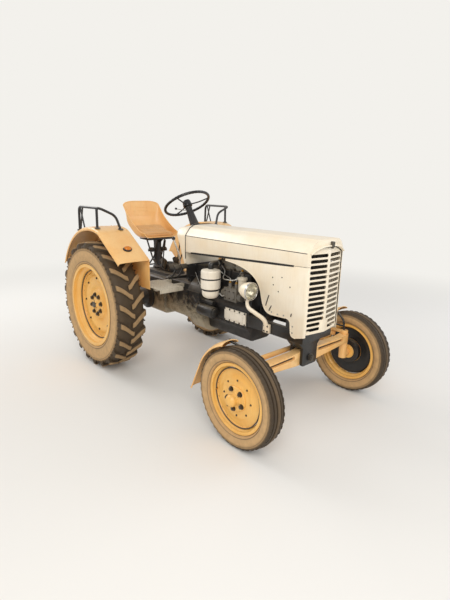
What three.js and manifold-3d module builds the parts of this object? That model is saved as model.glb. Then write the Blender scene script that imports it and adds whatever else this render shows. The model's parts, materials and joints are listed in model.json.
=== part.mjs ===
// A light two-cylinder row-crop tractor: open engine, V-fronted slotted grille, lugged rear tyres.
// Millimetres, +Z up. The tractor faces -Y and its right-hand side is -X.
// While it is built the rear axle lies at y = 0; at the end the whole stands centred over the origin.
import * as THREE from 'three';
import { mergeVertices } from 'three/addons/utils/BufferGeometryUtils.js';
import Module from 'manifold-3d';

const wasm = await Module();
wasm.setup();

// ---- Driving dimensions ------------------------------------------------------------------

// stance
const wheelbase = 1970;
const frontTrack = 1400;
const rearTrack = 1454;
const frontAxleY = -wheelbase;

// clearances and walls
const seatGap = 0.3;
const runningGap = 0.6;
const sheet = 4;

// rear wheels
const rearTyreRadius = 626;
const rearTyreWidth = 284;
const rearFlangeRadius = 410;
const rearRimWidth = 254;
const rearFlangeHeight = 25;
const rearWellDepth = 39;
const rearDiscOffset = 30;
const rearHubRadius = 66;
const rearHubFlangeRadius = 134;
const rearHubNose = 56;
const rearWheelSides = 24;
const lugHeight = 30;
const lugWidth = 46;
const lugsPerSide = 22;
const lugSweep = 118;
const rimLip = 8;

// front wheels
const frontTyreRadius = 366;
const frontTyreWidth = 146;
const frontFlangeRadius = 258;
const frontRimWidth = 86;
const frontFlangeHeight = 17;
const frontDiscOffset = 22;
const frontHubInset = 48;
const frontHubRadius = 60;
const frontHubFlangeRadius = 92;
const frontDrumRadius = 104;
const hubCapRadius = 48;
const hubCapLength = 66;
const ribHeight = 9;
const frontWheelSides = 24;

// front axle and steering
const kingpinInset = 115;
const kingpinRadius = 20;
const stubRadius = 22;
const beamRise = 134;
const beamDepth = 104;
const beamEndDepth = 66;
const beamThickness = 72;
const beamUpsweep = 20;
const eyeRadius = 36;
const pivotRadius = 26;
const armReach = 114;
const armThickness = 22;
const ballRadius = 9;
const tieRodRadius = 21;
const tieRodDrop = 23;

// front mudguards
const guardGap = 38;
const guardHalfWidth = 76;
const guardCrown = 18;
const guardFrom = 12;
const guardBend = 66;
const guardTail = 252;
const stayRadius = 9;

// front frame
const frameRise = 252;
const railDepth = 92;
const railOuterX = 180;
const railWidth = 36;
const noseSetback = 30;
const bolsterHalfLength = 62;

// hood, grille and cowl
const noseOverhang = 148;
const hoodHalfWidth = 212;
const hoodRise = 358;
const creaseDrop = 101;
const panelLineDrop = 155;
const panelLineRise = 60;
const hoodRearY = -705;
const prowDepth = 34;
const grilleHalfWidth = 196;
const grilleBottomRise = 18;
const grilleTopDrop = 60;
const grilleArch = 52;
const slotRows = 15;
const rowsAboveBar = 4;
const slotHeight = 24;
const slotLength = 158;
const shortRows = 2;
const chinWidth = 36;
const noseRound = 105;
const noseDrop = 48;
const apronRise = 80;
const cowlLength = 157;
const cowlFootLength = 17;
const cowlTopDrop = 38;
const cowlFootRise = 92;
const cowlInset = 4;

// engine
const crankDrop = 12;
const engineRearY = -960;
const engineLength = 560;
const blockHalfWidth = 140;
const crankcaseBulge = 36;
const blockHeight = 270;
const headHeight = 74;
const coverHeight = 66;
const cylinders = 2;
const ribDepth = 12;
const sumpDepth = 150;
const fanRise = 220;
const fanRadius = 190;
const fanBlades = 6;
const fanSetback = 65;
const radiatorSetback = 120;
const radiatorDepth = 80;
const beltThickness = 9;
const hoseX = 70;
const hoseRadius = 24;
const pumpLength = 150;
const cleanerRadius = 86;
const cleanerX = -268;
const dynamoRadius = 58;
const starterRadius = 52;
const tankSetback = 240;
const tankDepth = 172;
const exhaustPipeRadius = 26;
const silencerRadius = 56;
const silencerX = 330;

// transmission
const bellHalfWidth = 245;
const bellLength = 190;
const flywheelHousingRadius = 285;
const bellRise = 230;
const neckHalfWidth = 160;
const caseHalfWidth = 190;
const caseHalfLength = 190;
const caseFrontY = -310;
const gearboxStep = 102;
const lidHeight = 34;
const gearboxDrop = 210;
const axleHousingRadius = 92;
const trumpetEndRadius = 76;
const trumpetInset = 87;

// fenders, rails and footplates
const fenderGap = 98;
const fenderRise = 46;
const fenderSetback = 32;
const fenderCover = 111;
const fenderSideGap = 57;
const fenderBendY = -215;
const fenderFrontY = -585;
const fenderFrontRise = 502;
const fenderTailRise = 359;
const fenderLip = 24;
const platformStep = 4;
const platformInnerX = 268;
const platformRearY = -345;
const platformFrontY = -748;
const railInset = 32;
const railPostY = 238;
const railFrontPostY = -137;
const railRise = 176;
const railTube = 12;

// seat
const seatHalfWidth = 228;
const seatFrontY = -8;
const seatBackY = 412;
const seatRise = 340;
const seatBackRise = 372;
const seatFlatLength = 150;
const seatCrownDrop = 40;
const tubWall = 8;
const cushionHeight = 56;

// steering wheel, pedals and levers
const wheelRimRadius = 224;
const wheelRimSection = 14;
const steeringBossRadius = 46;
const hubHalfHeight = 32;
const steeringHubY = -455;
const steeringHubRise = 214;
const columnTilt = 32;
const columnRadius = 34;
const columnFootRadius = 50;
const pedalShaftY = -620;
const pedalShaftRise = 68;
const leverY = -330;
const leverRise = 358;

// headlamps
const lampRadius = 72;
const lampX = 300;
const lampSetback = 148;
const lampRise = 251;
const lampDepth = 118;

// drawbar
const hitchPlateThickness = 20;
const hitchDrop = 11;
const hitchReach = 230;
const hitchJaw = 30;

// heights that follow from the sizes above
const beamHeight = frontTyreRadius + beamRise;
const railTopHeight = beamHeight + frameRise;
const grilleBottomHeight = railTopHeight + grilleBottomRise;
const noseBottomHeight = railTopHeight - noseDrop;
const apronHeight = railTopHeight + apronRise;
const lampHeight = railTopHeight + lampRise;
const crankHeight = railTopHeight - crankDrop;
const blockTopHeight = crankHeight + blockHeight;
const headTop = blockTopHeight + headHeight;
const fanHeight = crankHeight + fanRise;
const hoodCrownHeight = headTop + hoodRise;
const creaseHeight = hoodCrownHeight - creaseDrop;
const panelLineRearHeight = creaseHeight - panelLineDrop;
const grilleTopHeight = hoodCrownHeight - grilleTopDrop;
const grilleShoulderHeight = grilleTopHeight - grilleArch;
const cowlTopHeight = hoodCrownHeight - cowlTopDrop;
const steeringHubHeight = cowlTopHeight + steeringHubRise;
const bellTopHeight = crankHeight + bellRise;
const cowlFootHeight = bellTopHeight + cowlFootRise;
const gearboxTopHeight = bellTopHeight - gearboxStep;
const gearboxBottomHeight = crankHeight - gearboxDrop;
const lidTopHeight = gearboxTopHeight + lidHeight;
const neckTopHeight = gearboxTopHeight + 20;
const platformHeight = gearboxTopHeight + platformStep;
const pedalShaftHeight = platformHeight + pedalShaftRise;
const leverHeight = lidTopHeight + leverRise;
const seatBaseHeight = lidTopHeight + seatRise;
const seatBackHeight = seatBaseHeight + seatBackRise;
const fenderRadius = rearTyreRadius + fenderGap;
const fenderCentreHeight = rearTyreRadius + fenderRise;
const fenderFrontHeight = rearTyreRadius + fenderFrontRise;
const fenderTailHeight = rearTyreRadius + fenderTailRise;
const railTop = fenderCentreHeight + fenderRadius + railRise;
const hitchHeight = rearTyreRadius - hitchDrop;

// ---- Finishes ----------------------------------------------------------------------------

function finish(color, roughness, metalness) {
  return new THREE.MeshStandardMaterial({ color, roughness, metalness });
}
const creamPaint = finish(0xf6e7cc, 0.45, 0);
const orangePaint = finish(0xf0b35c, 0.45, 0);
const blackPaint = finish(0x1c1b1a, 0.55, 0);
const castIron = finish(0x2f2d2b, 0.7, 0.2);
const greyIron = finish(0x8c8a84, 0.55, 0.5);
const tyreRubber = finish(0x191817, 0.9, 0);
const gripPlastic = finish(0x111111, 0.4, 0);
const seatHide = finish(0xd8a873, 0.6, 0);
const lampGlass = finish(0xf2efe2, 0.08, 0);

// ---- Solid modelling helpers -------------------------------------------------------------

const X = new THREE.Vector3(1, 0, 0);
const Y = new THREE.Vector3(0, 1, 0);
const Z = new THREE.Vector3(0, 0, 1);
// where an outline's u, v and its depth point, for a prism along each axis
const prismFrame = {
  x: new THREE.Matrix4().makeBasis(Y, Z, X),
  y: new THREE.Matrix4().makeBasis(X, Z, Y),
  z: new THREE.Matrix4().makeBasis(X, Y, Z),
};
// where a lathe's spindle (its local Y) points, for each axis
const latheFrame = {
  x: new THREE.Matrix4().makeBasis(Y, X, Z),
  y: new THREE.Matrix4().makeBasis(X, Y, Z),
  z: new THREE.Matrix4().makeBasis(X, Z, Y),
};
const everything = 4000;
const sides = [['right', -1], ['left', 1]];

function signedVolume(position, triangles) {
  const a = new THREE.Vector3();
  const b = new THREE.Vector3();
  const c = new THREE.Vector3();
  let total = 0;
  for (let i = 0; i < triangles.length; i += 3) {
    a.fromBufferAttribute(position, triangles[i]);
    b.fromBufferAttribute(position, triangles[i + 1]);
    c.fromBufferAttribute(position, triangles[i + 2]);
    total += a.dot(b.cross(c)) / 6;
  }
  return total;
}

// a closed geometry as a solid, faces turned outwards
function solid(geometry) {
  const bare = geometry.clone();
  bare.deleteAttribute('normal');
  bare.deleteAttribute('uv');
  const merged = mergeVertices(bare, 1e-3);
  const triangles = [];
  const index = merged.index.array;
  for (let i = 0; i < index.length; i += 3) {
    const [a, b, c] = [index[i], index[i + 1], index[i + 2]];
    if (a !== b && b !== c && c !== a) triangles.push(a, b, c);
  }
  if (signedVolume(merged.attributes.position, triangles) < 0) {
    for (let i = 0; i < triangles.length; i += 3) {
      [triangles[i + 1], triangles[i + 2]] = [triangles[i + 2], triangles[i + 1]];
    }
  }
  return new wasm.Manifold(new wasm.Mesh({
    numProp: 3,
    vertProperties: new Float32Array(merged.attributes.position.array),
    triVerts: new Uint32Array(triangles),
  }));
}

function join(...solids) {
  return wasm.Manifold.union(solids);
}

function cut(whole, ...tools) {
  return tools.reduce((rest, tool) => rest.subtract(tool), whole);
}

function both(make) {
  return join(make(1), make(-1));
}

// a left-hand body, mirrored for the right-hand side
function handed(body, side) {
  return side > 0 ? body : body.mirror([1, 0, 0]);
}

// an outline of [u, v] corners; a third number rounds that corner by about that much
function outline(corners) {
  const shape = new THREE.Shape();
  const count = corners.length;
  corners.forEach(([u, v, round = 0], i) => {
    const here = new THREE.Vector2(u, v);
    const before = new THREE.Vector2(...corners[(i + count - 1) % count].slice(0, 2));
    const after = new THREE.Vector2(...corners[(i + 1) % count].slice(0, 2));
    const start = before.sub(here).setLength(round).add(here);
    const end = after.sub(here).setLength(round).add(here);
    if (i === 0) shape.moveTo(start.x, start.y);
    else shape.lineTo(start.x, start.y);
    if (round > 0) shape.quadraticCurveTo(u, v, end.x, end.y);
  });
  return shape;
}

function circle(radius, u = 0, v = 0, count = 20) {
  const shape = new THREE.Shape();
  for (let i = 0; i < count; i += 1) {
    const angle = (i / count) * 2 * Math.PI;
    const at = [u + radius * Math.cos(angle), v + radius * Math.sin(angle)];
    if (i === 0) shape.moveTo(...at);
    else shape.lineTo(...at);
  }
  return shape;
}

// radius of a faceted hole whose flats clear a round shaft by a gap
function boreFor(shaftRadius, gap, count) {
  return (shaftRadius + gap) / Math.cos(Math.PI / count);
}

// an outline carried along an axis; u, v are the other two axes in x, y, z order
function prism(shape, axis, from, to, curveSegments = 4) {
  const profile = shape instanceof THREE.Shape ? shape : outline(shape);
  const options = { depth: Math.abs(to - from), bevelEnabled: false, curveSegments };
  const geometry = new THREE.ExtrudeGeometry(profile, options);
  geometry.translate(0, 0, Math.min(from, to)).applyMatrix4(prismFrame[axis]);
  return solid(geometry);
}

// a box between two opposite corners, given axis by axis in either order
function slab(x0, x1, y0, y1, z0, z1) {
  const geometry = new THREE.BoxGeometry(Math.abs(x1 - x0), Math.abs(y1 - y0), Math.abs(z1 - z0));
  geometry.translate((x0 + x1) / 2, (y0 + y1) / 2, (z0 + z1) / 2);
  return solid(geometry);
}

function rod(axis, radius, from, to, [u, v], count = 12) {
  return prism(circle(radius, u, v, count), axis, from, to);
}

// a profile of [radius, along] turned about an axis; it closes on itself or on the axis
function revolve(profile, axis, centre, count = 32) {
  const points = profile.map(([radius, along]) => new THREE.Vector2(radius, along));
  const first = points[0];
  const last = points[points.length - 1];
  if (first.x > 0 || last.x > 0) points.push(first.clone());
  const geometry = new THREE.LatheGeometry(points, count);
  geometry.applyMatrix4(latheFrame[axis]).translate(...centre);
  return solid(geometry);
}

// a round tube through points, with each inner corner bent by a radius
function pipe(points, radius, bend = 30, steps = 16, count = 8) {
  const path = new THREE.CurvePath();
  const at = points.map((point) => new THREE.Vector3(...point));
  let start = at[0];
  for (let i = 1; i < at.length - 1; i += 1) {
    const into = at[i - 1].clone().sub(at[i]).setLength(bend).add(at[i]);
    const out = at[i + 1].clone().sub(at[i]).setLength(bend).add(at[i]);
    path.add(new THREE.LineCurve3(start, into));
    path.add(new THREE.QuadraticBezierCurve3(into, at[i], out));
    start = out;
  }
  path.add(new THREE.LineCurve3(start, at[at.length - 1]));
  const options = { steps, extrudePath: path, bevelEnabled: false };
  return solid(new THREE.ExtrudeGeometry(circle(radius, 0, 0, count), options));
}

// A section of [x, out] points carried through stations in the Y-Z plane. Each station gives the
// point and the angle, from upright towards +Y, in which the section's "out" points.
function carried(section, stations) {
  const points = section.map(([x, out]) => new THREE.Vector2(x, out));
  if (THREE.ShapeUtils.isClockWise(points)) points.reverse();
  const positions = [];
  const triangles = [];
  const count = points.length;
  for (const { y, z, angle } of stations) {
    for (const point of points) {
      positions.push(point.x, y + point.y * Math.sin(angle), z + point.y * Math.cos(angle));
    }
  }
  for (let start = 0; start < (stations.length - 1) * count; start += count) {
    for (let i = 0; i < count; i += 1) {
      const [a, b] = [start + i, start + ((i + 1) % count)];
      triangles.push(a, b, a + count, b, b + count, a + count);
    }
  }
  const last = (stations.length - 1) * count;
  for (const [a, b, c] of THREE.ShapeUtils.triangulateShape(points, [])) {
    triangles.push(a, c, b, last + a, last + b, last + c);
  }
  const geometry = new THREE.BufferGeometry();
  geometry.setAttribute('position', new THREE.Float32BufferAttribute(positions, 3));
  geometry.setIndex(triangles);
  return solid(geometry);
}

// a body grown by the seating gap, to cut its neighbour with
function roomFor(body, gap = seatGap) {
  const shifts = [[gap, 0, 0], [-gap, 0, 0], [0, gap, 0], [0, -gap, 0], [0, 0, gap], [0, 0, -gap]];
  return join(body, ...shifts.map((shift) => body.translate(shift)));
}

const tractor = new THREE.Group();

function piece(name, body, material) {
  const { vertProperties, triVerts } = body.getMesh();
  const geometry = new THREE.BufferGeometry();
  geometry.setAttribute('position', new THREE.BufferAttribute(vertProperties, 3));
  geometry.setIndex(new THREE.BufferAttribute(triVerts, 1));
  geometry.computeVertexNormals();
  const mesh = new THREE.Mesh(geometry, material);
  mesh.name = name;
  tractor.add(mesh);
}

// ---- Wheels ------------------------------------------------------------------------------

const rearSeatRadius = rearFlangeRadius - rearFlangeHeight;
const frontSeatRadius = frontFlangeRadius - frontFlangeHeight;
const kingpinX = frontTrack / 2 - kingpinInset;
const trumpetEnd = rearTrack / 2 - trumpetInset;

// One lug: a bar from just past the tread's middle out to the shoulder, swept back as it goes.
function lug(phase, side) {
  const half = rearTyreWidth / 2;
  const tip = rearTyreRadius;
  const root = tip - 2.8 * lugHeight;
  const profile = outline([
    [-0.06 * side * half, tip - 2 * lugHeight], [-0.06 * side * half, tip], [0.84 * side * half, tip - 2],
    [0.97 * side * half, root], [0.6 * side * half, root],
  ]);
  const geometry = new THREE.ExtrudeGeometry(profile, { depth: lugWidth, bevelEnabled: false });
  const position = geometry.attributes.position;
  for (let i = 0; i < position.count; i += 1) {
    const x = position.getX(i);
    const height = position.getY(i);
    const along = position.getZ(i) - lugWidth / 2 - (Math.abs(x) / half) * lugSweep;
    const angle = phase + along / tip;
    position.setXYZ(i, x, height * Math.sin(angle), -height * Math.cos(angle));
  }
  return solid(geometry);
}

function mirrored(halfProfile) {
  return [...halfProfile, ...halfProfile.map(([radius, x]) => [radius, -x]).reverse()];
}

function rearTyre() {
  const half = rearTyreWidth / 2;
  const bead = rearRimWidth / 2 - seatGap;
  const tread = rearTyreRadius - lugHeight;
  const wallHeight = tread - rearFlangeRadius;
  const carcass = revolve(mirrored([
    [rearSeatRadius + seatGap, bead], [rearFlangeRadius + seatGap, bead],
    [rearFlangeRadius + 0.32 * wallHeight, half], [tread - 0.27 * wallHeight, half - 4],
    [tread, half * 0.66],
  ]), 'x', [0, 0, 0], rearWheelSides);
  const pitch = (2 * Math.PI) / lugsPerSide;
  const lugs = [];
  for (let i = 0; i < lugsPerSide; i += 1) lugs.push(lug(i * pitch, 1), lug((i + 0.5) * pitch, -1));
  return join(carcass, ...lugs);
}

// A rear rim with its dished disc and hub, for the left wheel; the hub ends at the axle housing.
function rearRim() {
  const half = rearRimWidth / 2;
  const well = rearSeatRadius - rearWellDepth;
  const lipInside = rearSeatRadius - 7;
  const disc = rearDiscOffset;
  const hubEnd = trumpetEnd + runningGap - rearTrack / 2;
  return revolve([
    [0, disc + rearHubNose], [rearHubRadius - 10, disc + rearHubNose - 6],
    [rearHubRadius + 4, disc + 28], [rearHubFlangeRadius - 4, disc + 26],
    [rearHubFlangeRadius, disc + 4], [well, disc + 8],
    [well, half - 40], [lipInside, half + rimLip], [rearFlangeRadius, half + rimLip],
    [rearFlangeRadius, half], [rearSeatRadius, half], [rearSeatRadius, -half], [rearFlangeRadius, -half],
    [rearFlangeRadius, -half - rimLip], [lipInside, -half - rimLip], [well, -half + 40],
    [well, disc - 2], [rearHubRadius, disc - 8], [rearHubRadius, hubEnd], [0, hubEnd],
  ], 'x', [0, 0, 0], rearWheelSides);
}

function frontTyre() {
  const half = frontTyreWidth / 2;
  const bead = frontRimWidth / 2 - seatGap;
  const tread = frontTyreRadius - ribHeight;
  return revolve(mirrored([
    [frontSeatRadius + seatGap, bead], [frontFlangeRadius + seatGap, bead],
    [frontFlangeRadius + 8, half - 12], [(frontFlangeRadius + frontTyreRadius) / 2, half],
    [tread - 10, half - 10], [tread, 20], [frontTyreRadius, 12],
  ]), 'x', [0, 0, 0], frontWheelSides);
}

// A front rim with its disc, hub and hub cap, for the left wheel, bored for the stub axle.
function frontRim() {
  const half = frontRimWidth / 2;
  const inside = frontSeatRadius - 6;
  const lip = 6;
  const disc = frontDiscOffset;
  const bore = stubRadius + runningGap;
  const boreEnd = disc + 50;
  const hubEnd = -frontHubInset;
  const dish = 182;
  return revolve([
    [bore, hubEnd], [frontHubRadius, hubEnd], [frontHubRadius, hubEnd + 12],
    [frontDrumRadius, hubEnd + 16], [frontDrumRadius, disc - 4], [dish - 32, disc - 4],
    [dish, disc - 18], [inside, disc - 20], [inside, -half - lip], [frontFlangeRadius, -half - lip],
    [frontFlangeRadius, -half], [frontSeatRadius, -half], [frontSeatRadius, half],
    [frontFlangeRadius, half], [frontFlangeRadius, half + lip], [inside, half + lip],
    [inside, disc - 10], [dish, disc - 8], [dish - 32, disc + 6], [frontHubFlangeRadius, disc + 10],
    [frontHubFlangeRadius - 4, disc + 26], [hubCapRadius, disc + 26],
    [hubCapRadius - 8, disc + 20 + hubCapLength], [0, disc + 26 + hubCapLength], [0, boreEnd],
    [bore, boreEnd],
  ], 'x', [0, 0, 0], frontWheelSides);
}

for (const [name, side] of sides) {
  const rearAt = [side * rearTrack / 2, 0, rearTyreRadius];
  const frontAt = [side * frontTrack / 2, frontAxleY, frontTyreRadius];
  piece(`rear_tyre_${name}`, rearTyre().translate(rearAt), tyreRubber);
  piece(`rear_rim_${name}`, handed(rearRim(), side).translate(rearAt), orangePaint);
  piece(`front_tyre_${name}`, frontTyre().translate(frontAt), tyreRubber);
  piece(`front_rim_${name}`, handed(frontRim(), side).translate(frontAt), orangePaint);
}

// ---- Front axle, knuckles and steering -----------------------------------------------------

const eyeTop = beamHeight + beamEndDepth / 2 + beamUpsweep;
const eyeBottom = beamHeight - beamEndDepth / 2 + beamUpsweep / 2;
const kingpinSides = 12;

// The beam: deep and humped over its centre pivot, tapering out to an eye round each kingpin.
function frontAxle() {
  const crown = beamHeight + beamDepth / 2;
  const halfOutline = [
    [60, crown + 14], [130, crown, 20], [kingpinX - 90, eyeTop - 10], [kingpinX, eyeTop],
    [kingpinX, eyeBottom], [kingpinX - 60, eyeBottom], [120, beamHeight - beamDepth / 2],
  ];
  const beam = prism([
    ...halfOutline, ...halfOutline.map(([x, z, ...round]) => [-x, z, ...round]).reverse(),
  ], 'y', frontAxleY - beamThickness / 2, frontAxleY + beamThickness / 2, 2);
  const eyes = both((side) => rod('z', eyeRadius, eyeBottom, eyeTop, [side * kingpinX, frontAxleY]));
  const pinHoles = both((side) => rod('z', boreFor(kingpinRadius, runningGap, kingpinSides), 0, everything,
    [side * kingpinX, frontAxleY], kingpinSides));
  const pivotHole = rod('y', pivotRadius + runningGap, -everything, 0, [0, beamHeight], 14);
  return cut(join(beam, eyes), pinHoles, pivotHole);
}
piece('front_axle', frontAxle(), orangePaint);

const armBottom = eyeTop + 4;
const armTop = armBottom + armThickness;
const tieRodY = frontAxleY + armReach;
const tieRodHeight = eyeTop - tieRodDrop;
const ballBottom = tieRodHeight - 8;

// The knuckle: kingpin through the beam's eye, drop to the stub axle, arm back to the tie rod.
function knuckle(side) {
  const x = side * kingpinX;
  const axis = [x, frontAxleY];
  const pin = rod('z', kingpinRadius, frontTyreRadius, armTop, axis, kingpinSides);
  const cap = rod('z', kingpinRadius + 12, eyeTop + runningGap, armTop + 4, axis);
  const drop = rod('z', eyeRadius - 2, frontTyreRadius - eyeRadius, eyeBottom - runningGap, axis);
  const stubEnd = side * (frontTrack / 2 + frontDiscOffset + 44);
  const flangeFace = side * (frontTrack / 2 - frontHubInset - runningGap);
  const stub = rod('x', stubRadius, x, stubEnd, [frontAxleY, frontTyreRadius]);
  const shoulder = rod('x', stubRadius + 10, x, flangeFace, [frontAxleY, frontTyreRadius]);
  const arm = prism([
    [x - 22, frontAxleY], [x + 22, frontAxleY],
    [x + 16, tieRodY + 18, 14], [x - 16, tieRodY + 18, 14],
  ], 'z', armBottom, armTop, 2);
  const ballPost = rod('z', ballRadius, ballBottom, armBottom + 4, [x, tieRodY], 8);
  return join(pin, cap, drop, stub, shoulder, arm, ballPost);
}

// The tie rod runs behind the beam; each end is an eye round a knuckle's ball post.
function tieRod() {
  const at = [tieRodY, tieRodHeight];
  const body = rod('x', tieRodRadius, -kingpinX + 60, kingpinX - 60, at);
  const ends = both((side) => join(
    rod('x', 13, side * (kingpinX - 70), side * (kingpinX - 20), at, 8),
    cut(
      rod('z', 22, tieRodHeight - 16, tieRodHeight + 16, [side * kingpinX, tieRodY]),
      rod('z', boreFor(ballRadius, runningGap, 8), ballBottom - seatGap, everything,
        [side * kingpinX, tieRodY], 8),
    ),
  ));
  return join(body, ends);
}

for (const [name, side] of sides) piece(`knuckle_${name}`, knuckle(side), orangePaint);
piece('tie_rod', tieRod(), orangePaint);

// Front mudguard: a crowned blade over the back of the wheel with a straight flared tail, on two
// stays from the knuckle.
function frontGuard(side) {
  const radius = frontTyreRadius + guardGap;
  const halfWidth = guardHalfWidth;
  const section = [
    [-halfWidth, -guardCrown], [-halfWidth + 26, 0], [halfWidth - 26, 0], [halfWidth, -guardCrown],
    [halfWidth - 2, -guardCrown - sheet], [halfWidth - 28, -sheet], [-halfWidth + 28, -sheet],
    [-halfWidth + 2, -guardCrown - sheet],
  ].map(([x, out]) => [side * frontTrack / 2 + x, out]);
  const station = (degrees, tail = 0) => {
    const angle = THREE.MathUtils.degToRad(degrees);
    return {
      y: frontAxleY + radius * Math.sin(angle) + tail * Math.cos(angle),
      z: frontTyreRadius + radius * Math.cos(angle) - tail * Math.sin(angle),
      angle,
    };
  };
  const steps = 5;
  const stations = [];
  for (let i = 0; i <= steps; i += 1) stations.push(station(guardFrom + (guardBend - guardFrom) * (i / steps)));
  stations.push(station(guardBend, guardTail));
  const blade = carried(section, stations);
  const stayX = side * (kingpinX + 2);
  const bladeX = side * (frontTrack / 2 - 34);
  const bladeEnd = (degrees) => {
    const { y, z, angle } = station(degrees);
    return [bladeX, y, z - sheet * Math.cos(angle)];
  };
  const frontEnd = bladeEnd(24);
  const front = pipe([
    [stayX, frontAxleY + 6, armTop], [stayX, frontAxleY + 20, frontEnd[2] - 60], frontEnd,
  ], stayRadius, 30, 6, 6);
  const backHeight = armTop + 34;
  const back = pipe([
    [stayX, frontAxleY + 8, backHeight], [stayX, frontAxleY + 200, backHeight], bladeEnd(58),
  ], stayRadius - 1, 40, 6, 6);
  return join(blade, front, back);
}

for (const [name, side] of sides) {
  piece(`front_mudguard_${name}`, cut(frontGuard(side), roomFor(knuckle(side))), orangePaint);
}

// ---- Chassis: front frame, engine, transmission ---------------------------------------------

const engineFrontY = engineRearY - engineLength;
const grilleEdgeY = frontAxleY - noseOverhang;
const frameFrontY = grilleEdgeY + noseSetback;
const railBottomHeight = railTopHeight - railDepth;
const crossTopHeight = railTopHeight - 24;

// Two side rails, a cross member at their front, and a bolster that holds the axle's pivot pin.
function frontFrame() {
  const rails = both((side) => slab(side * railOuterX, side * (railOuterX - railWidth),
    frameFrontY, engineFrontY - seatGap, railBottomHeight, railTopHeight));
  const inner = railOuterX - 10;
  const bolsterTop = railTopHeight - 20;
  const lugHalfWidth = 92;
  const bolster = prism([
    [-inner, bolsterTop], [inner, bolsterTop], [inner, bolsterTop - 60, 20],
    [lugHalfWidth, beamHeight + 90], [lugHalfWidth, beamHeight - 60, 20],
    [-lugHalfWidth, beamHeight - 60, 20], [-lugHalfWidth, beamHeight + 90], [-inner, bolsterTop - 60, 20],
  ], 'y', frontAxleY - bolsterHalfLength, frontAxleY + bolsterHalfLength, 2);
  const beamRoom = beamThickness / 2 + 2;
  const slot = slab(-everything, everything, frontAxleY - beamRoom, frontAxleY + beamRoom,
    0, beamHeight + beamDepth / 2 + 30);
  const pin = rod('y', pivotRadius, frontAxleY - bolsterHalfLength - 12, frontAxleY + bolsterHalfLength + 4,
    [0, beamHeight], 14);
  const frontCross = slab(-inner, inner, frameFrontY, frameFrontY + 30, railBottomHeight, crossTopHeight);
  return join(rails, cut(bolster, slot), pin, frontCross);
}
piece('front_frame', frontFrame(), blackPaint);

const crankcaseHalfWidth = blockHalfWidth + crankcaseBulge;
const ribHalfWidth = blockHalfWidth + ribDepth;
const crankcaseBottom = crankHeight - 90;
const shoulderHeight = crankHeight + 90;

// Cylinder block on a bulged crankcase, with upright ribs along both walls.
function engineBlock() {
  const half = [
    [crankcaseHalfWidth, crankcaseBottom], [crankcaseHalfWidth, crankHeight + 30, 30],
    [blockHalfWidth, shoulderHeight, 20], [blockHalfWidth, blockTopHeight],
  ];
  const crankcase = prism([
    ...half, ...half.map(([x, z, ...round]) => [-x, z, ...round]).reverse(),
  ], 'y', engineFrontY, engineRearY, 2);
  const ribs = [];
  const ribCount = 5;
  const ribPitch = engineLength / ribCount;
  for (let i = 0; i < ribCount; i += 1) {
    const y = engineFrontY + (i + 0.45) * ribPitch;
    ribs.push(slab(-ribHalfWidth, ribHalfWidth, y, y + 14, shoulderHeight - 30, blockTopHeight - 24));
  }
  return join(crankcase, ...ribs);
}
piece('engine_block', engineBlock(), castIron);

const sumpTop = crankcaseBottom - seatGap;
const sumpHalf = [
  [crankcaseHalfWidth - 6, sumpTop], [crankcaseHalfWidth - 6, sumpTop - 24],
  [blockHalfWidth - 10, sumpTop - 60, 20], [blockHalfWidth - 20, sumpTop - sumpDepth, 30],
];
piece('oil_sump', prism([
  ...sumpHalf, ...sumpHalf.map(([x, z, ...round]) => [-x, z, ...round]).reverse(),
], 'y', engineFrontY + 20, engineRearY - seatGap, 2), castIron);

// Each cylinder has its own head and domed rocker cover; a plate and a pipe join each row.
const headPitch = (engineLength - 60) / cylinders;
const heads = [];
const covers = [];
for (let i = 0; i < cylinders; i += 1) {
  const front = engineFrontY + 30 + i * headPitch;
  const rear = front + headPitch - 16;
  heads.push(slab(-blockHalfWidth + 6, blockHalfWidth - 6, front, rear, blockTopHeight + seatGap, headTop));
  covers.push(prism([
    [-96, headTop + seatGap], [96, headTop + seatGap], [96, headTop + coverHeight, 34],
    [-96, headTop + coverHeight, 34],
  ], 'y', front + 10, rear - 10, 3));
}
const headsFront = engineFrontY + 30;
const headsRear = headsFront + cylinders * headPitch - 16;
piece('cylinder_head', join(...heads, slab(-110, 110, headsFront + 20, headsRear - 20,
  blockTopHeight + seatGap, headTop - 14)), castIron);
piece('rocker_covers', join(...covers, slab(-40, 40, headsFront + 40, headsRear - 40,
  headTop + seatGap, headTop + 22)), greyIron);

// Flywheel housing (the bell), neck and gearbox case in one casting line.
const bellFrontY = engineRearY + seatGap;
const bellRearY = bellFrontY + bellLength;

function transmission() {
  const bellHalf = [
    [150, crankHeight - flywheelHousingRadius, 90], [bellHalfWidth, crankHeight - 100, 60],
    [bellHalfWidth, crankHeight + 110, 60], [130, bellTopHeight, 70],
  ];
  const neckHalf = [[neckHalfWidth, gearboxBottomHeight, 40], [neckHalfWidth, neckTopHeight, 40]];
  const caseHalf = [[caseHalfWidth, gearboxBottomHeight - 40, 50], [caseHalfWidth, gearboxTopHeight, 40]];
  const casting = (half, from, to) => prism([
    ...half, ...half.map(([x, z, round]) => [-x, z, round]).reverse(),
  ], 'y', from, to, 3);
  const lid = slab(-120, 120, caseFrontY - 170, caseHalfLength - 40, gearboxTopHeight - 5, lidTopHeight);
  return join(
    casting(bellHalf, bellFrontY, bellRearY),
    casting(neckHalf, bellRearY - 10, caseFrontY + 10),
    casting(caseHalf, caseFrontY, caseHalfLength),
    lid,
  );
}
piece('transmission', transmission(), castIron);

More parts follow.
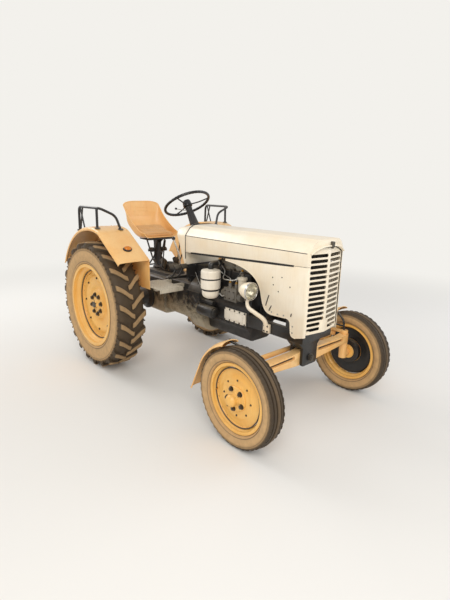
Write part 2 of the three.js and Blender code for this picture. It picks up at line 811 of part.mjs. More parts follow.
// Axle housings: flanged trumpets out to the rear hubs, each with a pad that carries a fender.
const fenderInnerX = rearTrack / 2 - rearTyreWidth / 2 - fenderSideGap;
const fenderOuterX = rearTrack / 2 + fenderCover;
const fenderFootHeight = rearTyreRadius + axleHousingRadius + 40;
const fenderPadWidth = 34;
for (const [name, side] of sides) {
  const flangeX = caseHalfWidth + seatGap;
  const endFlangeX = trumpetEnd - 60;
  const trumpet = revolve([
    [0, flangeX], [axleHousingRadius + 40, flangeX], [axleHousingRadius + 40, flangeX + 22],
    [axleHousingRadius, flangeX + 40], [trumpetEndRadius, endFlangeX - 20],
    [trumpetEndRadius + 16, endFlangeX], [trumpetEndRadius + 16, trumpetEnd], [0, trumpetEnd],
  ], 'x', [0, 0, rearTyreRadius], 16);
  const pad = slab(fenderInnerX - 60, fenderInnerX + fenderPadWidth, -70, 70,
    rearTyreRadius, fenderFootHeight - seatGap);
  piece(`axle_housing_${name}`, handed(join(trumpet, pad), side), castIron);
}

// ---- Things hung on the engine --------------------------------------------------------------

const ribFace = ribHalfWidth + seatGap;

// Oil-bath air cleaner: canister with a mid band and a bowl, elbow to the manifold, bracket.
const cleanerY = engineRearY - 180;
const cleanerTop = headTop + 20;
const cleanerBand = cleanerTop - 112;
piece('air_cleaner', join(
  revolve([
    [0, cleanerBand - 150], [cleanerRadius - 40, cleanerBand - 146], [cleanerRadius - 12, cleanerBand - 112],
    [cleanerRadius - 12, cleanerBand - 92], [cleanerRadius, cleanerBand - 86], [cleanerRadius, cleanerBand],
    [cleanerRadius + 6, cleanerBand + 2], [cleanerRadius + 6, cleanerBand + 12],
    [cleanerRadius, cleanerBand + 14], [cleanerRadius, cleanerTop - 18], [0, cleanerTop],
  ], 'z', [cleanerX, cleanerY, 0], 14),
  cut(
    pipe([[cleanerX, cleanerY, cleanerTop - 6], [cleanerX, cleanerY, cleanerTop + 36],
      [-blockHalfWidth + 20, cleanerY, cleanerTop + 36]], 26, 30, 4, 8),
    slab(-blockHalfWidth + 6 - seatGap, everything, -everything, 0, 0, everything),
  ),
  slab(-blockHalfWidth + 6 - seatGap, -blockHalfWidth - 20, cleanerY - 30, cleanerY + 30,
    blockTopHeight + 12, cleanerTop + 40),
  slab(cleanerX, -ribFace, cleanerY - 26, cleanerY + 26, blockTopHeight - 70, blockTopHeight - 30),
), greyIron);

// In-line injection pump: body, drive end, governor, an outlet for each cylinder, fuel filter.
const pumpFrontY = engineFrontY + 96;
const pumpRearY = pumpFrontY + pumpLength;
const pumpOuterX = -ribFace - 80;
const pumpBottom = shoulderHeight + 20;
const pumpTop = pumpBottom + 110;
const pumpAxisX = pumpOuterX + 39;
const pumpOutlets = [];
for (let i = 0; i < cylinders; i += 1) {
  pumpOutlets.push(rod('z', 16, pumpTop - 20, pumpTop + 40,
    [pumpAxisX, pumpFrontY + pumpLength * (i + 0.5) / cylinders], 8));
}
const filterX = pumpAxisX - 16;
piece('injection_pump', join(
  slab(pumpOuterX, -ribFace, pumpFrontY, pumpRearY, pumpBottom, pumpTop),
  slab(pumpOuterX - 8, pumpOuterX + 2, pumpFrontY + 14, pumpRearY - 14, pumpBottom + 16, pumpTop - 18),
  rod('y', 34, pumpFrontY - 40, pumpFrontY + 10, [pumpAxisX, pumpBottom + 40]),
  rod('y', 38, pumpRearY - 6, pumpRearY + 44, [pumpAxisX, pumpBottom + 48]),
  ...pumpOutlets,
), greyIron);

const filterY = engineFrontY + 50;
const filterTop = blockTopHeight + 60;
piece('fuel_filter', join(
  revolve([[0, filterTop - 132], [26, filterTop - 126], [34, filterTop - 112], [34, filterTop - 24],
    [42, filterTop - 20], [42, filterTop], [12, filterTop + 4], [10, filterTop + 16], [0, filterTop + 16]],
  'z', [filterX, filterY, 0], 12),
  slab(filterX, -ribFace, filterY - 16, filterY + 16, blockTopHeight - 60, blockTopHeight - 40),
), greyIron);

const starterX = -crankcaseHalfWidth - starterRadius - 4;
const starterHeight = crankHeight - 40;
piece('starter_motor', join(
  rod('y', starterRadius, engineRearY - 200, engineRearY - seatGap, [starterX, starterHeight], 14),
  rod('y', starterRadius - 10, engineRearY - 214, engineRearY - 190, [starterX, starterHeight], 14),
  rod('y', starterRadius / 2, engineRearY - 160, engineRearY - seatGap,
    [starterX + 22, starterHeight + 72], 10),
), blackPaint);

const sideCoverX = -crankcaseHalfWidth - seatGap;
const coverFrontY = engineFrontY + 20;
const coverRearY = coverFrontY + 260;
piece('side_cover', join(
  slab(sideCoverX - 16, sideCoverX, coverFrontY, coverRearY, crankHeight - 84, crankHeight + 28),
  slab(sideCoverX - 24, sideCoverX, coverFrontY + 24, coverRearY - 24, crankHeight - 64, crankHeight + 8),
), greyIron);

// The belt's pulleys: crankshaft, dynamo and fan, in the order in which it goes round them.
const dynamoX = ribHalfWidth + 84;
const dynamoHeight = shoulderHeight + 70;
const pulleys = [
  { x: 0, z: crankHeight, radius: 70 },
  { x: dynamoX, z: dynamoHeight, radius: 36 },
  { x: 0, z: fanHeight, radius: 62 },
];
const [crankPulley, dynamoPulley, fanPulley] = pulleys;
const pulleyFrontY = engineFrontY - 52;
const pulleyRearY = pulleyFrontY + 22;

function pulleyWheel({ x, z, radius }) {
  return rod('y', radius, pulleyFrontY, pulleyRearY, [x, z], 16);
}

piece('dynamo', join(
  rod('y', dynamoRadius, engineFrontY + 20, engineFrontY + 230, [dynamoX, dynamoHeight], 14),
  rod('y', dynamoRadius - 14, pulleyRearY + 8, engineFrontY + 20, [dynamoX, dynamoHeight], 14),
  rod('y', 16, pulleyFrontY, pulleyRearY + 10, [dynamoX, dynamoHeight], 8),
  pulleyWheel(dynamoPulley),
  slab(ribFace, dynamoX, engineFrontY + 50, engineFrontY + 200, dynamoHeight - 50, dynamoHeight - 20),
), blackPaint);

// Exhaust: manifold along the heads' left side, downpipe behind it, silencer beside the bell.
const manifoldHeight = blockTopHeight + 40;
const silencerHeight = crankHeight - 180;
piece('exhaust', join(
  slab(blockHalfWidth - 6 + seatGap, blockHalfWidth + 60, headsFront + 30, headsRear - 70,
    manifoldHeight - 24, manifoldHeight + 26),
  pipe([[blockHalfWidth + 34, headsRear - 90, manifoldHeight],
    [blockHalfWidth + 110, headsRear - 10, manifoldHeight - 140],
    [silencerX, headsRear + 100, silencerHeight + 100],
    [silencerX, bellRearY + 140, silencerHeight]], exhaustPipeRadius, 60, 10, 8),
  rod('y', silencerRadius, bellRearY + 90, bellRearY + 470, [silencerX, silencerHeight], 12),
  rod('y', exhaustPipeRadius - 2, bellRearY + 460, bellRearY + 590, [silencerX, silencerHeight], 8),
), greyIron);

const radiatorFrontY = grilleEdgeY + radiatorSetback;
const radiatorRearY = radiatorFrontY + radiatorDepth;
piece('radiator', join(
  slab(-hoodHalfWidth + 34, hoodHalfWidth - 34, radiatorFrontY, radiatorRearY,
    railTopHeight + seatGap, grilleTopHeight - 32),
  slab(-hoodHalfWidth + 62, hoodHalfWidth - 62, radiatorFrontY - 10, radiatorRearY + 10,
    grilleTopHeight - 42, grilleTopHeight + 8),
), blackPaint);

// Belt-driven fan on the front of the block, its blades set at a pitch.
const fanY = radiatorRearY + fanSetback;
const blades = [];
for (let i = 0; i < fanBlades; i += 1) {
  const blade = new THREE.BoxGeometry(fanRadius - 20, 4, 62).rotateX(THREE.MathUtils.degToRad(28));
  blade.translate((fanRadius - 20) / 2 + 20, 0, 0).rotateY((2 * Math.PI * (i + 0.5)) / fanBlades);
  blades.push(solid(blade.translate(0, fanY, fanHeight)));
}
piece('fan', join(
  rod('y', 46, fanY - 12, engineFrontY - seatGap, [0, fanHeight], 14),
  pulleyWheel(fanPulley),
  ...blades,
), blackPaint);

piece('crank_pulley', join(
  pulleyWheel(crankPulley),
  rod('y', 30, pulleyFrontY - 10, engineFrontY - seatGap, [0, crankHeight], 12),
), blackPaint);

// outline of a band round the pulleys, at a distance from their rims
function beltOutline(distance, arcSteps) {
  const points = [];
  const turn = (from, to) => Math.atan2(to.z - from.z, to.x - from.x)
    - Math.acos((from.radius - to.radius) / Math.hypot(to.x - from.x, to.z - from.z));
  pulleys.forEach((wheel, i) => {
    const from = turn(pulleys[(i + 2) % 3], wheel);
    let to = turn(wheel, pulleys[(i + 1) % 3]);
    if (to < from) to += 2 * Math.PI;
    const reach = (wheel.radius + distance) / Math.cos((to - from) / arcSteps / 2);
    for (let step = 0; step <= arcSteps; step += 1) {
      const angle = from + (to - from) * (step / arcSteps);
      points.push([wheel.x + reach * Math.cos(angle), wheel.z + reach * Math.sin(angle)]);
    }
  });
  return points;
}
piece('fan_belt', cut(
  prism(beltOutline(beltThickness, 8), 'y', pulleyFrontY + 4, pulleyRearY - 4, 1),
  prism(beltOutline(seatGap, 8), 'y', -everything, everything, 1),
), gripPlastic);

// Upper coolant hose from the front cylinder head to the radiator.
const hoseEndHeight = fanHeight + fanRadius + hoseRadius + 2;
piece('coolant_hose', pipe([
  [hoseX, headsFront - seatGap, headTop - 30], [hoseX, headsFront - 70, headTop - 30],
  [hoseX, headsFront - 110, hoseEndHeight], [hoseX, radiatorRearY + seatGap, hoseEndHeight],
], hoseRadius, 40, 10, 10), gripPlastic);

// Fuel tank: under the hood's crown, over the rocker covers, against the cowl.
const tankTop = hoodCrownHeight - 46;
const tankBottom = tankTop - tankDepth;
const tankShoulder = tankTop - 0.44 * tankDepth;
const tankHalf = [
  [hoodHalfWidth - 36, tankBottom, 20], [hoodHalfWidth - 26, tankShoulder, 20],
  [hoodHalfWidth - 92, tankTop, 40],
];
piece('fuel_tank', prism([
  ...tankHalf, ...tankHalf.map(([x, z, round]) => [-x, z, round]).reverse(),
], 'y', engineFrontY + tankSetback, hoodRearY, 2), blackPaint);

// The steering box stands on the bell and carries the cowl.
const cowlFootY = hoodRearY + cowlFootLength;
piece('steering_box', prism([
  [bellFrontY + 100, bellTopHeight + seatGap], [bellRearY + 70, bellTopHeight + seatGap],
  [cowlFootY + 16, cowlFootHeight - seatGap, 20], [hoodRearY - 115, cowlFootHeight - seatGap, 20],
], 'x', -78, 78, 2), castIron);

// ---- Hood, sides and grille ------------------------------------------------------------------

const panelLineFrontY = grilleEdgeY;
const hoodBaseHeight = noseBottomHeight - 100;

// height of the line between the hood's top and its side sheets, rising towards the front
function panelLineAt(y) {
  return panelLineRearHeight + panelLineRise * (y - hoodRearY) / (panelLineFrontY - hoodRearY);
}

// cross-section of the hood, drawn in by a margin for its inside
function hoodSection(margin) {
  const w = hoodHalfWidth - margin;
  const shoulder = hoodCrownHeight - margin - 22;
  return outline([
    [-w, hoodBaseHeight], [w, hoodBaseHeight], [w, creaseHeight, 14], [w * 0.72, shoulder, 46],
    [0, hoodCrownHeight - margin], [-w * 0.72, shoulder, 46], [-w, creaseHeight, 14],
  ]);
}

// the sheet body's outside, drawn in by a margin for its inside
function hoodForm(margin) {
  const w = hoodHalfWidth - margin;
  const front = grilleEdgeY + margin;
  const rear = hoodRearY + 2 * margin;
  const top = hoodCrownHeight - margin + 5;
  const plan = outline([[-w, rear], [-w, front, 18], [0, front - prowDepth], [w, front, 18], [w, rear]]);
  const elevation = outline([
    [rear, hoodBaseHeight], [rear, top], [front - prowDepth - 20, top, noseRound],
    [front - prowDepth - 20, hoodBaseHeight],
  ]);
  return prism(hoodSection(margin), 'y', -everything, 0)
    .intersect(prism(plan, 'z', 0, everything))
    .intersect(prism(elevation, 'x', -everything, everything));
}

// front view of the grille: upright sides and a top that arches as the hood does, drawn in by a margin
function grilleFront(margin, bottom) {
  const w = grilleHalfWidth - margin;
  const top = grilleTopHeight - margin;
  return prism(outline([
    [-w, bottom], [w, bottom], [w, grilleShoulderHeight - margin], [w * 0.72, top - 14, 40], [0, top],
    [-w * 0.72, top - 14, 40], [-w, grilleShoulderHeight - margin],
  ]), 'y', -everything, grilleEdgeY + 20, 2);
}
const grilleOpening = grilleFront(0, grilleBottomHeight);
const openShell = cut(hoodForm(0), hoodForm(sheet), grilleOpening);

function abovePanelLine(gap) {
  return prism([
    [0, panelLineAt(0) + gap], [-everything, panelLineAt(-everything) + gap],
    [-everything, everything], [0, everything],
  ], 'x', -everything, everything);
}

// A brow of folded sheet overhangs the arched top of the grille and follows its V.
function brow() {
  const w = grilleHalfWidth + 10;
  const edge = grilleEdgeY - 12;
  const band = prism([
    [-w, edge], [0, edge - prowDepth], [w, edge], [w, grilleEdgeY + 2], [0, grilleEdgeY - prowDepth + 2],
    [-w, grilleEdgeY + 2],
  ], 'z', grilleShoulderHeight, everything);
  return cut(band.intersect(grilleFront(-12, 0)), grilleFront(-3, 0));
}

piece('hood_top', join(openShell.intersect(abovePanelLine(seatGap / 2)), brow()), creamPaint);

// Outline of one side sheet: sweeps down from the panel line in an S, then forward to the nose.
function sideOutline() {
  const rearY = engineFrontY + 258;
  const toeY = grilleEdgeY + 168;
  const heelY = grilleEdgeY + 126;
  const ahead = grilleEdgeY - prowDepth - 50;
  const shape = new THREE.Shape();
  shape.moveTo(rearY, panelLineAt(rearY) + 20);
  shape.lineTo(rearY, panelLineAt(rearY) - 26);
  shape.bezierCurveTo(engineFrontY + 20, panelLineAt(rearY) - 38, engineFrontY - 120, apronHeight + 278,
    engineFrontY - 156, apronHeight + 158);
  shape.bezierCurveTo(engineFrontY - 180, apronHeight + 68, engineFrontY - 192, apronHeight,
    engineFrontY - 280, apronHeight);
  shape.lineTo(toeY, apronHeight + 6);
  shape.quadraticCurveTo(toeY - 34, apronHeight, toeY - 36, apronHeight - 42);
  shape.lineTo(heelY, noseBottomHeight + 34);
  shape.quadraticCurveTo(heelY - 8, noseBottomHeight, heelY - 48, noseBottomHeight);
  shape.lineTo(ahead, noseBottomHeight + 44);
  shape.lineTo(ahead, panelLineAt(ahead) + 20);
  shape.closePath();
  return shape;
}

const sideBand = cut(
  prism(sideOutline(), 'x', -everything, everything, 6),
  abovePanelLine(-seatGap / 2),
  slab(-grilleHalfWidth, grilleHalfWidth, -everything, grilleEdgeY + 20, 0, grilleTopHeight),
);
for (const [name, side] of sides) {
  const half = slab(0, side * everything, -everything, 0, 0, everything);
  piece(`hood_side_${name}`, openShell.intersect(sideBand).intersect(half), creamPaint);
}

// The grille: a V-fronted sheet with a column of round-ended slots on each side of the ridge, a
// raised bar across it, and feet that stand on the front frame's rails.
function grille() {
  const w = grilleHalfWidth - seatGap;
  const edge = grilleEdgeY + 8;
  const ridge = edge - prowDepth * (w / hoodHalfWidth);
  const bottom = grilleBottomHeight - 30;
  const top = grilleTopHeight - seatGap;
  const vee = (out, thick) => outline([
    [-w, edge - out], [0, ridge - out], [w, edge - out], [w, edge - out + thick],
    [0, ridge - out + thick], [-w, edge - out + thick],
  ]);
  const firstSlot = grilleBottomHeight - 8;
  const pitch = (grilleShoulderHeight + 2 - slotHeight - firstSlot) / (slotRows - 1);
  const slots = [];
  for (let row = 0; row < slotRows; row += 1) {
    const z = firstSlot + row * pitch;
    const length = slotLength - (row < shortRows ? chinWidth : 0);
    for (const side of [-1, 1]) {
      const mid = side * (w - 16 - length / 2);
      slots.push(prism([
        [mid - length / 2, z, 8], [mid + length / 2, z, 8],
        [mid + length / 2, z + slotHeight, 8], [mid - length / 2, z + slotHeight, 8],
      ], 'y', -everything, 0, 1));
    }
  }
  const barHeight = firstSlot + (slotRows - rowsAboveBar) * pitch - (pitch - slotHeight) / 2;
  const bar = prism(vee(7, 10), 'z', barHeight - 7, barHeight + 7);
  const posts = both((side) => slab(side * w, side * (w - 10), edge, edge + 20, bottom,
    grilleShoulderHeight - seatGap));
  const feet = both((side) => slab(side * (railOuterX - 4), side * (railOuterX - railWidth + 4),
    edge - 8, frameFrontY + 24, railTopHeight + seatGap, railTopHeight + 14));
  const panel = prism(vee(0, 5), 'z', bottom, top).intersect(grilleFront(seatGap, bottom));
  return join(cut(panel, join(...slots)), bar, posts, feet);
}
piece('grille', grille(), creamPaint);

// ---- Cowl and steering ------------------------------------------------------------------------

// The cowl closes the hood's rear end and leans back from its foot to the dash edge.
function cowl() {
  const w = hoodHalfWidth - cowlInset;
  const front = hoodRearY + seatGap;
  const rear = hoodRearY + cowlLength;
  return prism([
    [front, cowlFootHeight], [cowlFootY, cowlFootHeight], [rear, cowlTopHeight - 10],
    [rear - 10, cowlTopHeight], [front, hoodCrownHeight - 2],
  ], 'x', -w, w).intersect(prism(hoodSection(cowlInset), 'y', -everything, 0));
}
piece('cowl', cowl(), creamPaint);

const tilt = THREE.MathUtils.degToRad(columnTilt);
const wheelPlane = new THREE.Matrix4().makeRotationX(-tilt);
wheelPlane.setPosition(0, steeringHubY, steeringHubHeight);

function tilted(geometry) {
  return solid(geometry.applyMatrix4(wheelPlane));
}

function steeringWheel() {
  const rim = new THREE.TorusGeometry(wheelRimRadius, wheelRimSection, 6, 24);
  const hub = new THREE.CylinderGeometry(
    steeringBossRadius - 8, steeringBossRadius, 2 * hubHalfHeight, 12,
  ).rotateX(Math.PI / 2);
  const spokes = [90, 210, 330].map((degrees) => {
    const spoke = new THREE.BoxGeometry(wheelRimRadius - 20, 16, 8);
    spoke.translate((wheelRimRadius - 20) / 2 + 14, 0, 0).rotateZ(THREE.MathUtils.degToRad(degrees));
    return tilted(spoke);
  });
  return join(tilted(rim), tilted(hub), ...spokes);
}
piece('steering_wheel', steeringWheel(), gripPlastic);

// The column runs from below the wheel's hub down the tilted axis into the cowl.
function steeringColumn() {
  const length = (steeringHubHeight - cowlTopHeight) / Math.cos(tilt) + 56;
  const tube = new THREE.CylinderGeometry(columnRadius, columnFootRadius, length, 12).rotateX(Math.PI / 2);
  return tilted(tube.translate(0, 0, -length / 2 - hubHalfHeight - runningGap));
}
piece('steering_column', cut(steeringColumn(), roomFor(cowl())), blackPaint);

// ---- Driver's place ---------------------------------------------------------------------------

const fenderWallBottom = platformHeight - 20;

function fenderCrownAt(y) {
  return fenderCentreHeight + Math.sqrt(fenderRadius ** 2 - (y + fenderSetback) ** 2);
}

// side outline of the fender's outer skin: slanted front sheet, crown arc, tail
function fenderProfile(margin) {
  const radius = fenderRadius - margin;
  const startAngle = Math.acos((fenderBendY + fenderSetback) / fenderRadius);
  const endAngle = Math.asin((fenderTailHeight - fenderCentreHeight) / fenderRadius);
  const at = (angle) => [
    -fenderSetback + radius * Math.cos(angle), fenderCentreHeight + radius * Math.sin(angle),
  ];
  const steps = 9;
  const shape = new THREE.Shape();
  shape.moveTo(fenderFrontY + margin, fenderFrontHeight - margin);
  for (let i = 0; i <= steps; i += 1) shape.lineTo(...at(startAngle + (endAngle - startAngle) * (i / steps)));
  shape.lineTo(at(endAngle)[0], fenderFootHeight);
  shape.lineTo(fenderFrontY + margin, fenderFootHeight);
  shape.closePath();
  return shape;
}

function fender(side) {
  const inner = side * fenderInnerX;
  const outer = side * fenderOuterX;
  const below = prism([
    [fenderFrontY - 50, 0], [fenderFrontY - 50, fenderFrontHeight],
    [fenderFrontY + 200, fenderFrontHeight - 40], [rearTyreRadius / 3, fenderTailHeight],
    [everything, fenderTailHeight], [everything, 0],
  ], 'x', -everything, everything);
  const hollow = prism(fenderProfile(sheet), 'x', -everything, everything);
  const skin = cut(prism(fenderProfile(0), 'x', inner, outer), hollow, below);
  const wallTop = fenderCentreHeight + fenderRadius + 10;
  const wall = prism(fenderProfile(0), 'x', inner, inner + side * sheet).intersect(prism([
    [fenderFrontY, fenderWallBottom], [fenderFrontY, wallTop], [everything, wallTop],
    [everything, fenderTailHeight], [560, fenderTailHeight], [330, fenderFootHeight + 40, 60],
    [90, fenderFootHeight + 4], [-90, fenderFootHeight + 4], [-200, fenderWallBottom, 40],
  ], 'x', -everything, everything, 2));
  const lip = cut(prism(fenderProfile(0), 'x', outer - side * sheet, outer),
    prism(fenderProfile(fenderLip), 'x', -everything, everything), below);
  const foot = slab(inner, inner + side * fenderPadWidth, -70, 70, fenderFootHeight, fenderFootHeight + 6);
  return join(skin, wall, lip, foot);
}

// Grab rail on the fender's crown: a rear post, a front post, and a bar that runs on down inboard.
function fenderRail(side) {
  const railX = fenderOuterX - railInset;
  const at = (x, y, z) => [side * x, y, z];
  const endX = fenderInnerX + 72;
  const endY = fenderBendY + 10;
  const bar = pipe([
    at(railX, railPostY, fenderCrownAt(railPostY) + seatGap), at(railX, railPostY - 10, railTop),
    at(railX - 10, railFrontPostY - 60, railTop), at(endX + 40, endY + 15, railTop - 70),
    at(endX, endY, fenderCrownAt(endY) + seatGap),
  ], railTube, 50, 12, 6);
  const post = pipe([
    at(railX - 4, railFrontPostY, fenderCrownAt(railFrontPostY) + seatGap),
    at(railX - 6, railFrontPostY, railTop),
  ], railTube, 10, 1, 6);
  return cut(join(bar, post), roomFor(fender(side)));
}

for (const [name, side] of sides) {
  piece(`fender_${name}`, fender(side), orangePaint);
  piece(`fender_rail_${name}`, fenderRail(side), blackPaint);
}

// Footplates on each side of the gearbox, on two arms from its neck, with a turned-down front edge.
for (const [name, side] of sides) {
  const outerX = side * (fenderInnerX - seatGap);
  const innerX = side * platformInnerX;
  const under = platformHeight - 5;
  const arms = [platformFrontY + 130, platformRearY - 60].map((y) => slab(
    side * (neckHalfWidth + seatGap), side * (fenderInnerX - 40), y, y + 40, platformHeight - 40, under + 1));
  piece(`footplate_${name}`, join(
    slab(innerX, outerX, platformFrontY, platformRearY, under, platformHeight),
    slab(innerX, outerX, platformFrontY, platformFrontY + 5, platformHeight - 36, platformHeight),
    ...arms,
  ), blackPaint);
}

// Seat: a tub of pressed sheet that wraps round and runs down to its front lip. Its floor is flat
// over the support and sweeps up into the back.
const seatFlatEnd = seatFrontY + seatFlatLength;

// the tub's floor line from front to back, raised by a wall or a clearance
function seatFloor(raise) {
  return [
    [seatFlatEnd, seatBaseHeight + raise, 60], [seatBackY - 150, seatBaseHeight + 45 + raise, 60],
    [seatBackY - raise, seatBaseHeight + 130 + raise, 60],
  ];
}

function seatPlan(inset, backY, corner) {
  const w = seatHalfWidth - inset;
  return [[-w, seatFrontY + inset, 40], [w, seatFrontY + inset, 40], [w, backY, corner], [-w, backY, corner]];
}

function seatForm() {
  const top = seatBackHeight;
  const elevation = outline([
    [seatFrontY, seatBaseHeight, 20], ...seatFloor(0), [seatBackY, top], [seatBackY - 28, top, 20],
    [seatBackY - 84, top - 110, 60], [seatFlatEnd, seatBaseHeight + 112, 80],
    [seatFrontY + 50, seatBaseHeight + 56, 50], [seatFrontY, seatBaseHeight + 48, 10],
  ]);
  const w = seatHalfWidth;
  const facing = outline([
    [-w, seatBaseHeight], [w, seatBaseHeight], [w, top - seatCrownDrop, 50], [w / 2, top, 70],
    [-w / 2, top, 70], [-w, top - seatCrownDrop, 50],
  ]);
  return prism(outline(seatPlan(0, seatBackY, 150)), 'z', 0, everything)
    .intersect(prism(elevation, 'x', -everything, everything))
    .intersect(prism(facing, 'y', -everything, everything));
}

function seatHollow() {
  const w = seatHalfWidth - tubWall;
  const above = outline([
    [-everything, seatBaseHeight + tubWall], ...seatFloor(tubWall),
    [seatBackY - tubWall, everything], [-everything, everything],
  ]);
  return prism([
    [-w, seatFrontY - 50], [w, seatFrontY - 50], [w, seatBackY - tubWall, 150], [-w, seatBackY - tubWall, 150],
  ], 'z', 0, everything).intersect(prism(above, 'x', -everything, everything));
}
piece('seat', cut(seatForm(), seatHollow()), blackPaint);

const cushionTop = seatBaseHeight + tubWall + cushionHeight;
const cushionBackY = seatBackY - 70;
piece('seat_cushion', prism(seatPlan(tubWall + 2, cushionBackY, 120), 'z', 0, everything)
  .intersect(prism([
    [seatFrontY, seatBaseHeight + tubWall + seatGap], ...seatFloor(tubWall + seatGap).slice(0, 2),
    [cushionBackY, seatBaseHeight + 110], [cushionBackY, cushionTop + 70, 8],
    [cushionBackY - 110, cushionTop + 10, 60], [seatFrontY, cushionTop, 20],
  ], 'x', -everything, everything)), seatHide);

// A plate on the gearbox lid carries a leg with a shelf under the tub's flat floor.
const legFrontY = seatFrontY + 62;
const legRearY = legFrontY + 56;
const shelfRearY = seatFlatEnd - 20;
piece('seat_support', join(
  slab(-40, 40, legFrontY - 10, legRearY + 10, lidTopHeight + seatGap, lidTopHeight + 26),
  prism([
    [legFrontY, lidTopHeight + 16], [legRearY, lidTopHeight + 16], [legRearY, seatBaseHeight - 60],
    [shelfRearY, seatBaseHeight - 18], [shelfRearY, seatBaseHeight - seatGap],
    [seatFrontY + 16, seatBaseHeight - seatGap], [seatFrontY + 16, seatBaseHeight - 18],
    [legFrontY, seatBaseHeight - 50],
  ], 'x', -32, 32),
), blackPaint);

piece('gear_levers', join(
  revolve([[0, lidTopHeight + seatGap], [52, lidTopHeight + seatGap],
    [30, lidTopHeight + 56], [0, lidTopHeight + 62]], 'z', [0, leverY, 0], 14),
  pipe([
    [0, leverY, lidTopHeight + 26], [0, leverY, leverHeight - 180], [-20, leverY + 80, leverHeight],
  ], 9, 60, 4, 6),
  rod('z', 20, leverHeight - 20, leverHeight + 18, [-20, leverY + 80]),
), blackPaint);

// one pedal: arm and tread pad, hung on the cross shaft
function pedal(x) {
  return join(
    pipe([[x, pedalShaftY, pedalShaftHeight], [x, pedalShaftY - 60, pedalShaftHeight + 40],
      [x, pedalShaftY - 110, pedalShaftHeight + 120]], 9, 20, 3, 6),
    prism([
      [pedalShaftY - 132, pedalShaftHeight + 100], [pedalShaftY - 96, pedalShaftHeight + 136],
      [pedalShaftY - 104, pedalShaftHeight + 144], [pedalShaftY - 142, pedalShaftHeight + 110],
    ], 'x', x - 34, x + 34),
  );
}

// the pedals of one foot, on a shaft and a stand on the gearbox neck
function pedalSet(side, places) {
  const inner = side * 70;
  return join(
    rod('x', 14, inner, side * (Math.max(...places) + 14), [pedalShaftY, pedalShaftHeight]),
    slab(inner, inner + side * 36, pedalShaftY - 20, pedalShaftY + 20,
      neckTopHeight + seatGap, pedalShaftHeight + 14),
    ...places.map((place) => pedal(side * place)),
  );
}
piece('brake_pedals', pedalSet(-1, [250, 330]), blackPaint);
piece('clutch_pedal', pedalSet(1, [300]), blackPaint);

// Towing hitch: a plate on the back of the gearbox, a tongue, and a forked jaw with its pin.
const hitchPlateBack = caseHalfLength + seatGap + hitchPlateThickness;
const jawEndY = caseHalfLength + hitchReach;
piece('drawbar', join(
  slab(-70, 70, caseHalfLength + seatGap, hitchPlateBack, hitchHeight - 95, hitchHeight + 85),
  slab(-36, 36, hitchPlateBack - 5, jawEndY - 80, hitchHeight - 25, hitchHeight + 25),
  cut(
    slab(-50, 50, jawEndY - 100, jawEndY, hitchHeight - 43, hitchHeight + 43),
    slab(-60, 60, jawEndY - 70, everything, hitchHeight - hitchJaw / 2, hitchHeight + hitchJaw / 2),
  ),
  rod('z', 15, hitchHeight - 55, hitchHeight + 75, [0, jawEndY - 35]),
), blackPaint);

// ---- Headlamps -----------------------------------------------------------------------------------

const lampFaceY = engineFrontY - lampSetback;
const lampFootY = frontAxleY + 230;
const lensRadius = lampRadius - 8;
for (const [name, side] of sides) {
  const centre = [side * lampX, 0, lampHeight];
  const shell = revolve([
    [0, lampFaceY + lampDepth], [26, lampFaceY + lampDepth - 4], [54, lampFaceY + lampDepth - 34],
    [lampRadius, lampFaceY + 20], [lampRadius, lampFaceY], [lensRadius, lampFaceY],
    [lensRadius, lampFaceY + 14], [0, lampFaceY + 14],
  ], 'y', centre, 16);
  const bracket = pipe([
    [side * lampX, lampFaceY + 50, lampHeight - lampRadius + 6],
    [side * lampX, lampFaceY + 44, lampHeight - lampRadius - 60],
    [side * (railOuterX + 30), lampFootY, railTopHeight + 20],
    [side * (railOuterX + 12), lampFootY - 4, railTopHeight - 60],
  ], 13, 50, 7, 6);
  const foot = slab(side * (railOuterX + seatGap), side * (railOuterX + 26), lampFootY - 34, lampFootY + 28,
    railTopHeight - 86, railTopHeight - 10);
  piece(`headlamp_${name}`, cut(join(shell, bracket, foot), roomFor(frontFrame())), creamPaint);
  piece(`headlamp_glass_${name}`, revolve([
    [0, lampFaceY + 2], [40, lampFaceY + 4], [lensRadius - seatGap, lampFaceY + 8],
    [lensRadius - seatGap, lampFaceY + 14 - seatGap], [0, lampFaceY + 14 - seatGap],
  ], 'y', centre, 16), lampGlass);
}

// ---- Stand the tractor over the origin --------------------------------------------------------------

tractor.position.y = (wheelbase + frontTyreRadius - rearTyreRadius) / 2;
export default tractor;
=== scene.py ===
import json
import math

import bmesh
import bpy
import numpy as np
from mathutils import Matrix, Vector

